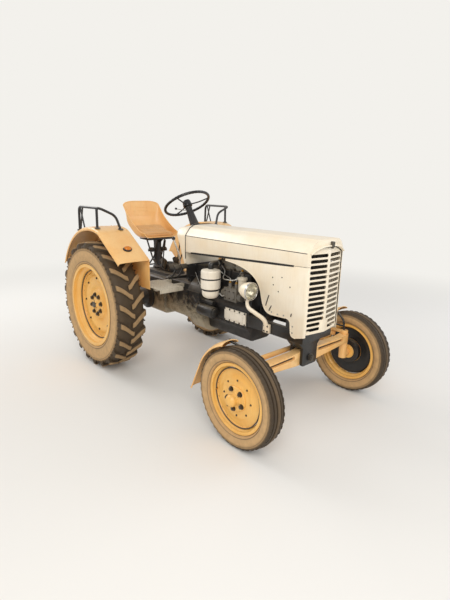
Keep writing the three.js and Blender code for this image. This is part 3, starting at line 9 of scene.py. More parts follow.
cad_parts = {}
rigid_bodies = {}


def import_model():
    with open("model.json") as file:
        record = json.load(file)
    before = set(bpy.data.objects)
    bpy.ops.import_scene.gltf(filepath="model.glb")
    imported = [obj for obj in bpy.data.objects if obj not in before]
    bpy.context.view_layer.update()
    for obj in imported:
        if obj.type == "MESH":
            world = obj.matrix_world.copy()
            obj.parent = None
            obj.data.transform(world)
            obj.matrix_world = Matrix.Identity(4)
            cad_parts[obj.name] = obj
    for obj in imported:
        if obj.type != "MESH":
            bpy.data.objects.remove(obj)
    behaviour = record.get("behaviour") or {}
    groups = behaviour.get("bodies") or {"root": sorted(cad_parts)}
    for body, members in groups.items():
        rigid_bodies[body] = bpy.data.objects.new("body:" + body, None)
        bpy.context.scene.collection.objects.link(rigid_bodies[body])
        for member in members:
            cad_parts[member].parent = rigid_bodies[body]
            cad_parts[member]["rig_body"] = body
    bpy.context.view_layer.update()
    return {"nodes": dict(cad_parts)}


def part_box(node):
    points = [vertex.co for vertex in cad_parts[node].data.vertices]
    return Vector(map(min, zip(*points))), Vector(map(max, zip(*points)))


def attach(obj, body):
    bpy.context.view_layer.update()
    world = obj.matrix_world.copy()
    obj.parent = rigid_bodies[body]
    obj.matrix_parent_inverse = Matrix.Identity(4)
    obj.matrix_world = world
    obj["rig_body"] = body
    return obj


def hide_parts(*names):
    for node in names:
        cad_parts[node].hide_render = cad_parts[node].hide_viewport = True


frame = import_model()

nodes = frame["nodes"]
scene = bpy.context.scene
sides = (("right", -1), ("left", 1))
print("frame loaded:", len(nodes), "nodes")


def middle(nodeName):
    low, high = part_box(nodeName)
    return (Vector(low) + Vector(high)) / 2


rearAxleY = middle("rear_tyre_right").y


def at(x, y, z):
    # mm from the centre plane, the rear axle and the floor
    return Vector((x / 1000, rearAxleY + y / 1000, z / 1000))


# room and camera

studio = dict(floor="#eae8e3", backdrop="#f3f1ec", skyStrength=0.7, floorRadius=60.0, fadeStart=3.2, fadeEnd=7.5)
cameraPlace = dict(at=(-2.5866, -2.9925, 1.7570), yaw=42.63, pitch=14.66, roll=1.24, focal=420.25, imageHeight=600)
lamps = {
    # name: place in m, aimed at, width and height in m, power in W, colour
    "key": dict(at=(-3.6, -4.2, 4.6), aim=(0.0, -0.4, 0.7), size=(3.2, 3.2), power=168, colour="#fffaf3"),
    "fill": dict(at=(4.6, -3.4, 3.0), aim=(0.0, 0.0, 0.7), size=(4.0, 3.0), power=70, colour="#f2f6ff"),
    "back": dict(at=(-1.5, 5.0, 4.2), aim=(0.0, 0.3, 0.9), size=(4.0, 2.4), power=120, colour="#ffffff"),
}


def linearColour(hexCode):
    parts = [int(hexCode[i:i + 2], 16) / 255 for i in (1, 3, 5)]
    return tuple(p / 12.92 if p <= 0.04045 else ((p + 0.055) / 1.055) ** 2.4 for p in parts) + (1.0,)


def addNode(tree, kind, inputs=None, **settings):
    # an input takes a value, a hex colour, a socket, or a node, which stands for its first live output
    node = tree.nodes.new(kind)
    for name, value in settings.items():
        setattr(node, name, value)
    for key, value in (inputs or {}).items():
        if isinstance(value, bpy.types.Node):
            value = next(output for output in value.outputs if output.enabled)
        if isinstance(value, bpy.types.NodeSocket):
            tree.links.new(value, node.inputs[key])
        else:
            isHex = isinstance(value, str) and value.startswith("#")
            node.inputs[key].default_value = linearColour(value) if isHex else value
    return node


def addObject(name, data):
    thing = bpy.data.objects.new(name, data)
    scene.collection.objects.link(thing)
    return thing


def startShading(owner):
    owner.use_nodes = True
    tree = owner.node_tree
    tree.nodes.clear()
    return owner, lambda kind, inputs=None, **settings: addNode(tree, "ShaderNode" + kind, inputs, **settings)


def setCamera(p):
    yaw, pitch, roll = (math.radians(p[k]) for k in ("yaw", "pitch", "roll"))
    ahead = Vector((math.sin(yaw) * math.cos(pitch), math.cos(yaw) * math.cos(pitch), -math.sin(pitch)))
    level = Vector((math.cos(yaw), -math.sin(yaw), 0))
    upright = level.cross(ahead)
    right = math.cos(roll) * level + math.sin(roll) * upright
    up = -math.sin(roll) * level + math.cos(roll) * upright
    data = bpy.data.cameras.new("view")
    data.sensor_fit, data.sensor_height = "VERTICAL", 36.0
    data.lens = p["focal"] / p["imageHeight"] * data.sensor_height
    data.clip_end = 200
    scene.camera = addObject("view", data)
    scene.camera.matrix_world = (Matrix.Translation(p["at"])
                                 @ Matrix((right, up, -ahead)).transposed().to_4x4())


def setLamp(name, p):
    data = bpy.data.lights.new(name, "AREA")
    data.shape, (data.size, data.size_y) = "RECTANGLE", p["size"]
    data.energy, data.color = p["power"], linearColour(p["colour"])[:3]
    lamp = addObject(name, data)
    lamp.location = p["at"]
    lamp.rotation_euler = (Vector(p["aim"]) - Vector(p["at"])).to_track_quat("-Z", "Y").to_euler()


def setWorld(p):
    scene.world, add = startShading(bpy.data.worlds.new("studio"))
    seen = add("Background", {"Color": p["backdrop"], "Strength": 1.0})
    cast = add("Background", {"Color": "#f7f7f8", "Strength": p["skyStrength"]})
    path = add("LightPath").outputs
    either = add("Math", {0: path["Is Camera Ray"], 1: path["Is Transmission Ray"]}, operation="MAXIMUM")
    add("OutputWorld", {"Surface": add("MixShader", {0: either, 1: cast, 2: seen})})


def makeFloor(p):
    # painted concrete, matt and even; far off it turns into the backdrop
    material, add = startShading(bpy.data.materials.new("paleFloor"))
    far = add("VectorMath", {0: add("TexCoord").outputs["Object"]}, operation="LENGTH")
    fade = add("MapRange", {"Value": far, "From Min": p["fadeStart"], "From Max": p["fadeEnd"]},
               interpolation_type="SMOOTHSTEP")
    share = add("Math", {0: fade, 1: add("LightPath").outputs["Is Camera Ray"]}, operation="MULTIPLY")
    paint = add("BsdfDiffuse", {"Color": p["floor"]})
    glow = add("Emission", {"Color": p["backdrop"], "Strength": 1.0})
    add("OutputMaterial", {"Surface": add("MixShader", {0: share, 1: paint, 2: glow})})
    shape = bmesh.new()
    bmesh.ops.create_circle(shape, cap_ends=True, segments=64, radius=p["floorRadius"])
    floor = addObject("floor", toMesh("floor", shape))
    floor.data.materials.append(material)


def toMesh(name, shape):
    mesh = bpy.data.meshes.new(name)
    shape.to_mesh(mesh)
    shape.free()
    return mesh


scene.view_settings.view_transform = "Standard"
setCamera(cameraPlace)
for lampName, lampSettings in lamps.items():
    setLamp(lampName, lampSettings)
setWorld(studio)
makeFloor(studio)
print("camera, lamps and floor set")

# materials; every pattern reads Object coordinates, so one unit is a metre

mixShare, mixUnder, mixOver = 0, 6, 7  # a colour Mix node's own sockets among those of other kinds


def newMaterial(name):
    material, add = startShading(bpy.data.materials.new(name))
    return material, add, add("TexCoord").outputs["Object"]


def enamel(name, p):
    # alkyd enamel on steel: a slight orange peel, broad fading, dust where it lies level,
    # rain-washed streaks, and chips along the edges down to primer
    material, add, place = newMaterial(name)
    fading = add("TexNoise", {"Vector": place, "Scale": 4.5, "Detail": 5.0, "Roughness": 0.6})
    tint = add("MapRange", {"Value": fading, "From Min": 0.35, "From Max": 0.7})
    body = add("Mix", {mixShare: tint, mixUnder: p["colour"], mixOver: p["faded"]}, data_type="RGBA")
    # streaks run down: the pattern is drawn out to 140 mm by 14 mm
    drawn = add("Mapping", {"Vector": place, "Scale": (70.0, 70.0, 7.0)})
    streaks = add("TexNoise", {"Vector": drawn, "Scale": 1.0, "Detail": 3.0})
    streakShare = add("MapRange", {"Value": streaks, "From Min": 0.5, "From Max": 0.78,
                                   "To Max": p.get("streak", 0.09)})
    washed = add("Mix", {mixShare: streakShare, mixUnder: body, mixOver: p["grime"]}, data_type="RGBA")
    facing = add("NewGeometry").outputs["Normal"]
    level = add("SeparateXYZ", {0: facing}).outputs["Z"]
    lying = add("MapRange", {"Value": level, "From Min": 0.55, "To Max": p.get("dust", 0.3)})
    specks = add("TexNoise", {"Vector": place, "Scale": 55.0, "Detail": 6.0, "Roughness": 0.7})
    dustShare = add("Math", {0: lying, 1: specks}, operation="MULTIPLY")
    dusty = add("Mix", {mixShare: dustShare, mixUnder: washed, mixOver: "#b9a88c"}, data_type="RGBA")
    # wear follows the edges: the rounded normal departs from the real one there
    softEdge = add("Bevel", {"Radius": 0.004}, samples=4)
    agree = add("VectorMath", {0: softEdge, 1: facing}, operation="DOT_PRODUCT")
    edge = add("MapRange", {"Value": agree, "From Min": 0.985, "From Max": 0.9})
    flakes = add("TexNoise", {"Vector": place, "Scale": 38.0, "Detail": 5.0, "Roughness": 0.75})
    flakeShare = add("MapRange", {"Value": flakes, "From Min": 0.54, "From Max": 0.6,
                                  "To Max": p.get("chips", 1.0)})
    chips = add("Math", {0: edge, 1: flakeShare}, operation="MULTIPLY")
    chipped = add("Mix", {mixShare: chips, mixUnder: dusty, mixOver: p["primer"]}, data_type="RGBA")
    rough = add("MapRange", {"Value": specks, "From Min": 0.3, "From Max": 0.75, "To Min": p["rough"] - 0.08,
                             "To Max": p["rough"] + 0.14})
    # orange peel: waves 5 mm apart, so that they show
    peel = add("TexNoise", {"Vector": place, "Scale": 200.0, "Detail": 2.0})
    bump = add("Bump", {"Height": peel, "Strength": 0.12, "Distance": 0.0012})
    add("OutputMaterial", {"Surface": add("BsdfPrincipled", {
        "Base Color": chipped, "Roughness": rough, "Normal": bump, "IOR": 1.5, "Coat Weight": 0.25,
        "Coat Roughness": 0.18})})
    return material


enamels = {
    "creamEnamel": dict(colour="#fbf0da", faded="#f7e6c8", grime="#b79a6c", primer="#8a4a2c", rough=0.36),
    "orangeEnamel": dict(colour="#f9ca86", faded="#f3b76a", grime="#9c6a34", primer="#6d3a22", rough=0.4),
    "amberEnamel": dict(colour="#f6c36c", faded="#efb354", grime="#8f6430", primer="#5d3620", rough=0.42),
    "blackEnamel": dict(colour="#1b1a19", faded="#262422", grime="#3c352b", primer="#5c564e", rough=0.42,
                        dust=0.5, chips=0.45),
    "paleEnamel": dict(colour="#f3ead9", faded="#e9dec8", grime="#6b5c45", primer="#6e6a62", rough=0.4,
                       streak=0.2),
    "engineEnamel": dict(colour="#6f695f", faded="#5b564d", grime="#231f1a", primer="#a39d90", rough=0.48,
                         streak=0.5, dust=0.6),
    "greyEnamel": dict(colour="#cfc6b3", faded="#bfb5a0", grime="#5a5042", primer="#6e6a62", rough=0.45,
                       streak=0.4),
}


def sandCastIron(name, mudAndHighlightTop=0.0):
    # sand-cast iron under dark engine paint: 2 mm grain, oil-darkened hollows, dry dust on top,
    # and below the given height in metres pale dried mud, which is also painted highlight on the lower castings
    material, add, place = newMaterial(name)
    grain = add("TexNoise", {"Vector": place, "Scale": 420.0, "Detail": 4.0, "Roughness": 0.7})
    stain = add("TexNoise", {"Vector": place, "Scale": 13.0, "Detail": 5.0, "Roughness": 0.6})
    stainShare = add("MapRange", {"Value": stain, "From Min": 0.38, "From Max": 0.62})
    body = add("Mix", {mixShare: stainShare, mixUnder: "#2c2926", mixOver: "#141312"}, data_type="RGBA")
    level = add("SeparateXYZ", {0: add("NewGeometry").outputs["Normal"]}).outputs["Z"]
    lying = add("MapRange", {"Value": level, "From Min": 0.3, "To Max": 0.75})
    dustShare = add("Math", {0: lying, 1: grain}, operation="MULTIPLY")
    dusty = add("Mix", {mixShare: dustShare, mixUnder: body, mixOver: "#8d7c63"}, data_type="RGBA")
    height = add("SeparateXYZ", {0: place}).outputs["Z"]
    splashes = add("TexNoise", {"Vector": place, "Scale": 14.0, "Detail": 8.0, "Roughness": 0.75})
    reach = add("Math", {0: splashes, 1: 0.62, 2: -0.14}, operation="MULTIPLY_ADD")
    splashed = add("Math", {0: height, 1: reach}, operation="ADD")
    # pale towards the bottom: dried mud and painted highlight
    low = add("MapRange", {"Value": splashed, "From Min": mudAndHighlightTop + 0.26, "From Max": mudAndHighlightTop + 0.06,
                           "To Max": 0.62 if mudAndHighlightTop else 0.0})
    muddyAndHighlit = add("Mix", {mixShare: low, mixUnder: dusty, mixOver: "#cdbd9f"}, data_type="RGBA")
    rough = add("MapRange", {"Value": stain, "To Min": 0.34, "To Max": 0.68})
    bump = add("Bump", {"Height": grain, "Strength": 0.5, "Distance": 0.0012})
    add("OutputMaterial", {"Surface": add("BsdfPrincipled", {
        "Base Color": muddyAndHighlit, "Roughness": rough, "Normal": bump, "IOR": 1.5, "Coat Weight": 0.12})})
    return material


def tyreRubber(name, tyre, dustAndRingShade):
    # vulcanised rubber with carbon black: matt, field dust dried on the walls, scuffed dark on the tread;
    # the list gives the dust's share at each radius in metres; its dark dips at the moulded rings are painted shade
    material, add, place = newMaterial(name)
    axle = middle(tyre)
    fromAxle = add("Mapping", {"Vector": place, "Location": (0.0, -axle.y, -axle.z), "Scale": (0.0, 1.0, 1.0)})
    radius = add("VectorMath", {0: fromAxle}, operation="LENGTH")
    low, high = dustAndRingShade[0][0], dustAndRingShade[-1][0]
    across = add("MapRange", {"Value": radius, "From Min": low, "From Max": high})
    rings = add("ValToRGB", {0: across})
    stops = rings.color_ramp.elements
    while len(stops) < len(dustAndRingShade):
        stops.new(0.5)
    for stop, (r, share) in zip(stops, dustAndRingShade):
        stop.position, stop.color = (r - low) / (high - low), (share, share, share, 1.0)
    clods = add("TexNoise", {"Vector": place, "Scale": 22.0, "Detail": 8.0, "Roughness": 0.7})
    clodShare = add("MapRange", {"Value": clods, "From Min": 0.34, "From Max": 0.6, "To Min": 0.76, "To Max": 0.94})
    share = add("Math", {0: rings, 1: clodShare}, operation="MULTIPLY")
    coat = add("Mix", {mixShare: share, mixUnder: "#1c1a18", mixOver: "#d3ad7c"}, data_type="RGBA")
    rough = add("MapRange", {"Value": share, "To Min": 0.62, "To Max": 0.95})
    pits = add("TexNoise", {"Vector": place, "Scale": 260.0, "Detail": 3.0})
    bump = add("Bump", {"Height": pits, "Strength": 0.35, "Distance": 0.001})
    add("OutputMaterial", {"Surface": add("BsdfPrincipled", {
        "Base Color": coat, "Roughness": rough, "Normal": bump, "IOR": 1.52, "Specular IOR Level": 0.35})})
    return material


def bareMetal(name, colour, rough, pitting=0.2):
    # bright or dulled metal: uneven polish, with fine pitting in it
    material, add, place = newMaterial(name)
    cloud = add("TexNoise", {"Vector": place, "Scale": 60.0, "Detail": 5.0})
    dull = add("MapRange", {"Value": cloud, "From Min": 0.45, "From Max": 0.75, "To Max": 0.55})
    tone = add("Mix", {mixShare: dull, mixUnder: colour, mixOver: "#5d5850"}, data_type="RGBA")
    uneven = add("MapRange", {"Value": cloud, "To Min": rough * 0.7, "To Max": rough * 1.5})
    pits = add("TexNoise", {"Vector": place, "Scale": 900.0, "Detail": 2.0})
    bump = add("Bump", {"Height": pits, "Strength": pitting, "Distance": 0.0004})
    add("OutputMaterial", {"Surface": add("BsdfPrincipled", {
        "Base Color": tone, "Roughness": uneven, "Normal": bump, "Metallic": 1.0})})
    return material


def mouldedPlain(name, colours, rough, ior, grain=(300.0, 0.1)):
    # moulded rubber, phenolic or plastic: a soft sheen with finger marks
    material, add, place = newMaterial(name)
    marks = add("TexNoise", {"Vector": place, "Scale": 35.0, "Detail": 4.0})
    tone = add("Mix", {mixShare: marks, mixUnder: colours[0], mixOver: colours[1]}, data_type="RGBA")
    sheen = add("MapRange", {"Value": marks, "From Min": 0.3, "From Max": 0.7, "To Min": rough * 0.75,
                             "To Max": rough * 1.35})
    skin = add("TexNoise", {"Vector": place, "Scale": grain[0], "Detail": 2.0})
    bump = add("Bump", {"Height": skin, "Strength": grain[1], "Distance": 0.0006})
    add("OutputMaterial", {"Surface": add("BsdfPrincipled", {
        "Base Color": tone, "Roughness": sheen, "Normal": bump, "IOR": ior})})
    return material


def leathercloth(name):
    # vinyl-coated cloth: pebbled grain 2 mm across, polished where the driver sits, cracked tone in the grain
    material, add, place = newMaterial(name)
    pebbles = add("TexVoronoi", {"Vector": place, "Scale": 430.0}, feature="SMOOTH_F1")
    wear = add("TexNoise", {"Vector": place, "Scale": 9.0, "Detail": 4.0})
    tone = add("Mix", {mixShare: wear, mixUnder: "#e9b87a", mixOver: "#d39c5c"}, data_type="RGBA")
    hollow = add("MapRange", {"Value": pebbles, "From Min": 0.35, "From Max": 0.75, "To Max": 0.35})
    creased = add("Mix", {mixShare: hollow, mixUnder: tone, mixOver: "#7d5228"}, data_type="RGBA")
    rough = add("MapRange", {"Value": wear, "From Min": 0.35, "From Max": 0.65, "To Min": 0.42, "To Max": 0.62})
    bump = add("Bump", {"Height": pebbles, "Strength": 0.45, "Distance": 0.0008}, invert=True)
    add("OutputMaterial", {"Surface": add("BsdfPrincipled", {
        "Base Color": creased, "Roughness": rough, "Normal": bump, "IOR": 1.53, "Sheen Weight": 0.1})})
    return material


def pressedGlass(name):
    # clear pressed soda-lime lens: bright, faintly wavy, with a film of dust
    material, add, place = newMaterial(name)
    film = add("TexNoise", {"Vector": place, "Scale": 40.0, "Detail": 5.0})
    haze = add("MapRange", {"Value": film, "From Min": 0.35, "From Max": 0.75, "To Min": 0.1, "To Max": 0.3})
    add("OutputMaterial", {"Surface": add("BsdfPrincipled", {
        "Base Color": "#f6f4ea", "Roughness": haze, "IOR": 1.52, "Transmission Weight": 1.0})})
    return material


look = {name: enamel(name, settings) for name, settings in enamels.items()}
look.update(
    # the muddy iron's pale lower part is mud and painted highlight
    castIron=sandCastIron("sandCastIron"), dustyIron=sandCastIron("castIronMudAndHighlight", 0.66),
    # the dark dips in these radius lists, at the moulded rings, are painted shade
    rearTyre=tyreRubber("rearTyreRubber", "rear_tyre_right", [
        (0.408, 0.2), (0.414, 0.85), (0.428, 0.95), (0.434, 0.3), (0.442, 0.9), (0.52, 1.0), (0.536, 0.92),
        (0.541, 0.45), (0.55, 0.8), (0.566, 0.14), (0.61, 0.1), (0.618, 0.62)]),
    frontTyre=tyreRubber("frontTyreRubber", "front_tyre_right", [
        (0.256, 0.2), (0.262, 0.85), (0.27, 0.95), (0.275, 0.3), (0.281, 0.9), (0.315, 1.0), (0.325, 0.85),
        (0.33, 0.4), (0.334, 0.7), (0.345, 0.12), (0.36, 0.08), (0.366, 0.22)]),
    steel=bareMetal("zincPlatedSteel", "#c9c6bd", 0.34), darkSteel=bareMetal("blackenedSteel", "#6b655c", 0.42, 0.3),
    brass=bareMetal("yellowBrass", "#c99a4a", 0.3), chrome=bareMetal("chromePlate", "#dedede", 0.12, 0.05),
    mirror=bareMetal("silveredReflector", "#f1efe8", 0.3, 0.0),
    rubber=mouldedPlain("hoseRubber", ("#191817", "#262321"), 0.62, 1.52),
    bakelite=mouldedPlain("phenolicRim", ("#0e0d0c", "#181513"), 0.24, 1.6, (220.0, 0.06)),
    amberLens=mouldedPlain("amberAcrylic", ("#e0861c", "#c96f12"), 0.16, 1.49, (160.0, 0.05)),
    dialFace=mouldedPlain("screenPrintedDial", ("#191815", "#211f1b"), 0.5, 1.5),
    dialMarks=mouldedPlain("dialPrint", ("#efe6cf", "#e2d8bd"), 0.5, 1.5),
    leathercloth=leathercloth("vinylLeathercloth"), glass=pressedGlass("pressedGlass"))
slotOf = dict(creamEnamel="cream_paint", orangeEnamel="orange_paint", amberEnamel="orange_paint",
              greyEnamel="grey_paint", engineEnamel="grey_paint", paleEnamel="grey_paint", castIron="cast_iron",
              dustyIron="cast_iron", rearTyre="tyre_rubber", frontTyre="tyre_rubber", rubber="black_rubber",
              bakelite="grip_plastic", leathercloth="seat_hide", glass="lamp_glass")
print("materials made:", len(look))

# shape helpers, in metres unless said otherwise

def meshFrom(name, shape, turnOut=True):
    bmesh.ops.remove_doubles(shape, verts=shape.verts, dist=1e-6)
    if turnOut:
        bmesh.ops.recalc_face_normals(shape, faces=shape.faces)
    return toMesh(name, shape)


def finishMesh(name, shape, material, smoothAngle=35.0, slot=None, body="chassis"):
    mesh = shape if isinstance(shape, bpy.types.Mesh) else meshFrom(name, shape)
    mesh.materials.clear()
    mesh.materials.append(look[material])
    for polygon in mesh.polygons:
        polygon.use_smooth = True
    mesh.set_sharp_from_angle(angle=math.radians(smoothAngle))
    piece = addObject(name, mesh)
    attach(piece, body)
    slot or slotOf.get(material, "black_paint")
    return piece


def applyModifiers(piece):
    bpy.context.view_layer.update()
    baked = bpy.data.meshes.new_from_object(piece.evaluated_get(bpy.context.evaluated_depsgraph_get()))
    piece.modifiers.clear()
    piece.data = baked


def modified(mesh, kind, **settings):
    # the mesh with one modifier applied
    holder = addObject("holder", mesh)
    modifier = holder.modifiers.new(kind, kind)
    for key, value in settings.items():
        setattr(modifier, key, value)
    applyModifiers(holder)
    made = holder.data
    bpy.data.objects.remove(holder)
    return made


def rounded(mesh, width, sharpest, **settings):
    return modified(mesh, "BEVEL", width=width, segments=2, limit_method="ANGLE",
                    angle_limit=math.radians(sharpest), **settings)


def merged(mesh, thin, flat):
    # a copy whose loose triangles are merged into flat faces
    shape = bmesh.new()
    shape.from_mesh(mesh)
    bmesh.ops.remove_doubles(shape, verts=shape.verts, dist=2e-5)
    bmesh.ops.dissolve_degenerate(shape, edges=shape.edges, dist=thin)
    bmesh.ops.dissolve_limit(shape, angle_limit=math.radians(flat), verts=shape.verts, edges=shape.edges)
    return toMesh("merged", shape)


def mm(points):
    return [tuple(c / 1000 for c in point) for point in points]


def flipped(points):
    # the far half of a profile that is the same on both sides
    return [(r, -x, *more) for r, x, *more in reversed(points)]


def cornerInto(points, before, here, after, radius, most, steps):
    into, out = before - here, after - here
    reach = min(radius, into.length * most, out.length * most)
    a, b = here + into.normalized() * reach, here + out.normalized() * reach
    for step in range(steps + 1):
        t = step / steps
        points.append(a * (1 - t) ** 2 + here * (2 * t * (1 - t)) + b * t ** 2)


def softened(corners, radius, steps=4, closed=False):
    # rounds each corner of a flat path; a third number on a corner is its own radius
    points, flat = [], [Vector(corner[:2]) for corner in corners]
    for i, corner in enumerate(corners):
        r = corner[2] if len(corner) > 2 else radius
        if r == 0 or (not closed and i in (0, len(flat) - 1)):
            points.append(flat[i])
        else:
            cornerInto(points, flat[i - 1], flat[i], flat[(i + 1) % len(flat)], r, 0.49, steps)
    return [tuple(point) for point in points]


def bendPath(corners, bend, steps=6):
    # points of a route whose corners are rounded to about the bend
    ways = [Vector(corner) for corner in corners]
    points = [ways[0]]
    for before, here, after in zip(ways, ways[1:], ways[2:]):
        cornerInto(points, before, here, after, bend, 0.48, steps)
    return points + [ways[-1]]


def axisFrame(axis, centre):
    # a frame whose third direction is the axis
    z = Vector(axis).normalized()
    x = Vector((0, 0, 1)) if abs(z.z) < 0.9 else Vector((1, 0, 0))
    y = z.cross(x).normalized()
    x = y.cross(z)
    return Matrix.Translation(centre) @ Matrix((x, y, z)).transposed().to_4x4()


def loft(shape, rings, closed=False, flip=False):
    # walls between rings of points; an open run of rings gets both its ends
    rings = [[shape.verts.new(point) for point in ring] for ring in rings]
    count = len(rings[0])
    for a, b in zip(rings, rings[1:] + rings[:1] if closed else rings[1:]):
        for k in range(count):
            shape.faces.new([a[k], a[(k + 1) % count], b[(k + 1) % count], b[k]])
    if not closed:
        shape.faces.new(list(reversed(rings[0])) if flip else rings[0])
        shape.faces.new(rings[-1])
    return shape


def sheetInto(shape, rows):
    # an open skin over rows of points
    rows = [[shape.verts.new(point) for point in row] for row in rows]
    for a, b in zip(rows, rows[1:]):
        for k in range(len(a) - 1):
            shape.faces.new([a[k], a[k + 1], b[k + 1], b[k]])
    return rows


def spin(shape, profile, place, segments=64):
    # a profile of (radius, along) turned about the place's third direction
    rings = []
    for i in range(segments):
        angle = 2 * math.pi * i / segments
        c, s = math.cos(angle), math.sin(angle)
        rings.append([shape.verts.new(place @ Vector((r * c, r * s, z))) for r, z in profile])
    for a, b in zip(rings, rings[1:] + rings[:1]):
        for j in range(len(profile) - 1):
            quad = [a[j], b[j], b[j + 1], a[j + 1]]
            if profile[j][0] < 1e-7:
                quad = [a[j], b[j + 1], a[j + 1]]
            elif profile[j + 1][0] < 1e-7:
                quad = [a[j], b[j], a[j + 1]]
            shape.faces.new(quad)
    return shape


def lathe(name, profile, axis, centre, material, segments=64, smoothAngle=35.0, body="chassis"):
    return finishMesh(name, spin(bmesh.new(), profile, axisFrame(axis, centre), segments), material, smoothAngle,
                      body=body)


def sweepLoop(shape, path, radius, sides=12, closed=False):
    # a tube along points; the radius may be a list with one for each point
    points = [Vector(p) for p in path]
    count = len(points)
    rings, normal = [], None
    for i, point in enumerate(points):
        if closed:
            tangent = (points[(i + 1) % count] - points[i - 1]).normalized()
        else:
            tangent = (points[min(i + 1, count - 1)] - points[max(i - 1, 0)]).normalized()
        if normal is None:
            up = Vector((0, 0, 1)) if abs(tangent.z) < 0.95 else Vector((1, 0, 0))
            normal = tangent.cross(up).normalized()
        normal = (normal - tangent * normal.dot(tangent)).normalized()
        side = tangent.cross(normal)
        r = radius[i] if isinstance(radius, list) else radius
        rings.append([point + normal * (r * math.cos(angle)) + side * (r * math.sin(angle))
                      for angle in (2 * math.pi * k / sides for k in range(sides))])
    return loft(shape, rings, closed, True)


def tubes(name, routes, material, sides=12, body="chassis"):
    # routes of (corners, radius, bend)
    shape = bmesh.new()
    for corners, radius, bend in routes:
        sweepLoop(shape, bendPath(corners, bend), radius, sides)
    return finishMesh(name, shape, material, 50, body=body)


def slabInto(shape, low, high, place=Matrix.Identity(4)):
    size = Vector(high) - Vector(low)
    centre = (Vector(high) + Vector(low)) / 2
    for vert in bmesh.ops.create_cube(shape, size=1.0)["verts"]:
        vert.co = place @ (Vector((vert.co.x * size.x, vert.co.y * size.y, vert.co.z * size.z)) + centre)


def slabs(name, boxes, bevel, material):
    shape = bmesh.new()
    for box in boxes:
        slabInto(shape, *box)
    bmesh.ops.bevel(shape, geom=shape.edges[:], offset=bevel, segments=2, affect="EDGES", profile=0.6,
                    clamp_overlap=True)
    return finishMesh(name, shape, material)


def upright(y):
    # a place whose first two directions are x and z, and whose third runs back from y mm
    return Matrix(((1, 0, 0, 0), (0, 0, 1, at(0, y, 0).y), (0, 1, 0, 0), (0, 0, 0, 1)))


def extrudeOutline(shape, outline, depth, place):
    # outline of (u, v) in mm carried from depth[0] to depth[1] along the place's third direction
    return loft(shape, [[place @ Vector((u, v, w)) for u, v in mm(outline)] for w in depth], flip=True)

# castings, pressings and bars that keep their own form

dressing = {
    # node: material, edge rounding in mm
    "engine_block": ("castIron", 5), "oil_sump": ("castIron", 6), "cylinder_head": ("castIron", 5),
    "transmission": ("dustyIron", 7), "steering_box": ("castIron", 5),
    "axle_housing_right": ("castIron", 5), "axle_housing_left": ("castIron", 5),
    "front_frame": ("blackEnamel", 4),
    "knuckle_right": ("orangeEnamel", 3), "knuckle_left": ("orangeEnamel", 3),
    "rocker_covers": ("greyEnamel", 6), "side_cover": ("paleEnamel", 6), "injection_pump": ("engineEnamel", 3),
    "fuel_filter": ("greyEnamel", 2), "starter_motor": ("blackEnamel", 2.5), "dynamo": ("blackEnamel", 2.5),
    "radiator": ("blackEnamel", 3), "fan": ("blackEnamel", 0.8), "crank_pulley": ("blackEnamel", 1.5),
    "fan_belt": ("rubber", 1.2), "coolant_hose": ("rubber", 1.5), "fuel_tank": ("blackEnamel", 6),
    "tie_rod": ("orangeEnamel", 2),
    "footplate_right": ("greyEnamel", 1.5), "footplate_left": ("greyEnamel", 1.5),
    "brake_pedals": ("blackEnamel", 2), "clutch_pedal": ("blackEnamel", 2),
    "seat_support": ("blackEnamel", 3), "drawbar": ("blackEnamel", 3),
    "cowl": ("creamEnamel", 8),
}
for nodeName, (material, edge) in dressing.items():
    # the node's own form with its edges rounded as the real casting or pressing has them
    ownForm = rounded(merged(nodes[nodeName].data, 1e-5, 1.0), edge / 1000, 28, miter_outer="MITER_ARC")
    dressed = finishMesh(nodeName + "_finish", ownForm, material, 40, body=nodes[nodeName]["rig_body"])
    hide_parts(nodeName)
print("castings dressed:", len(dressing))

# node trees for what repeats; each ends in plain mesh with its finish

def newTree(name, inputs):
    tree = bpy.data.node_groups.new(name, "GeometryNodeTree")
    for label, kind in (("Seed", "Geometry"),) + inputs + (("Finish", "Material"),):
        tree.interface.new_socket(label, in_out="INPUT", socket_type="NodeSocket" + kind)
    tree.interface.new_socket("Result", in_out="OUTPUT", socket_type="NodeSocketGeometry")
    return tree, addNode(tree, "NodeGroupInput").outputs


def endTree(tree, given, instances, turn=None, centre=None):
    solid = addNode(tree, "GeometryNodeRealizeInstances", {"Geometry": instances})
    if centre is not None:
        turned = addNode(tree, "FunctionNodeEulerToRotation", {"Euler": turn})
        solid = addNode(tree, "GeometryNodeTransform", {"Geometry": solid, "Translation": centre, "Rotation": turned})
    painted = addNode(tree, "GeometryNodeSetMaterial", {"Geometry": solid, "Material": given["Finish"]})
    addNode(tree, "NodeGroupOutput", {0: painted})
    return tree


def makeRoundTree():
    # copies turned about the seed's own x axis, then set at a centre
    tree, given = newTree("repeatRound", (("Count", "Int"), ("Step", "Float"), ("Turn", "Vector"),
                                          ("Centre", "Vector")))
    points = addNode(tree, "GeometryNodeMeshLine", {"Count": given["Count"], "Offset": (0, 0, 0)}, mode="OFFSET")
    angle = addNode(tree, "ShaderNodeMath", {0: addNode(tree, "GeometryNodeInputIndex"), 1: given["Step"]},
                    operation="MULTIPLY")
    euler = addNode(tree, "ShaderNodeCombineXYZ", {"X": angle})
    turn = addNode(tree, "FunctionNodeEulerToRotation", {"Euler": euler})
    copies = addNode(tree, "GeometryNodeInstanceOnPoints", {"Points": points, "Instance": given["Seed"],
                                                            "Rotation": turn})
    return endTree(tree, given, copies, given["Turn"], given["Centre"])


def makeRowTree():
    # copies carried along a straight step
    tree, given = newTree("repeatAlong", (("Count", "Int"), ("Step", "Vector")))
    points = addNode(tree, "GeometryNodeMeshLine", {"Count": given["Count"], "Offset": given["Step"]},
                     mode="OFFSET")
    return endTree(tree, given, addNode(tree, "GeometryNodeInstanceOnPoints", {"Points": points,
                                                                               "Instance": given["Seed"]}))


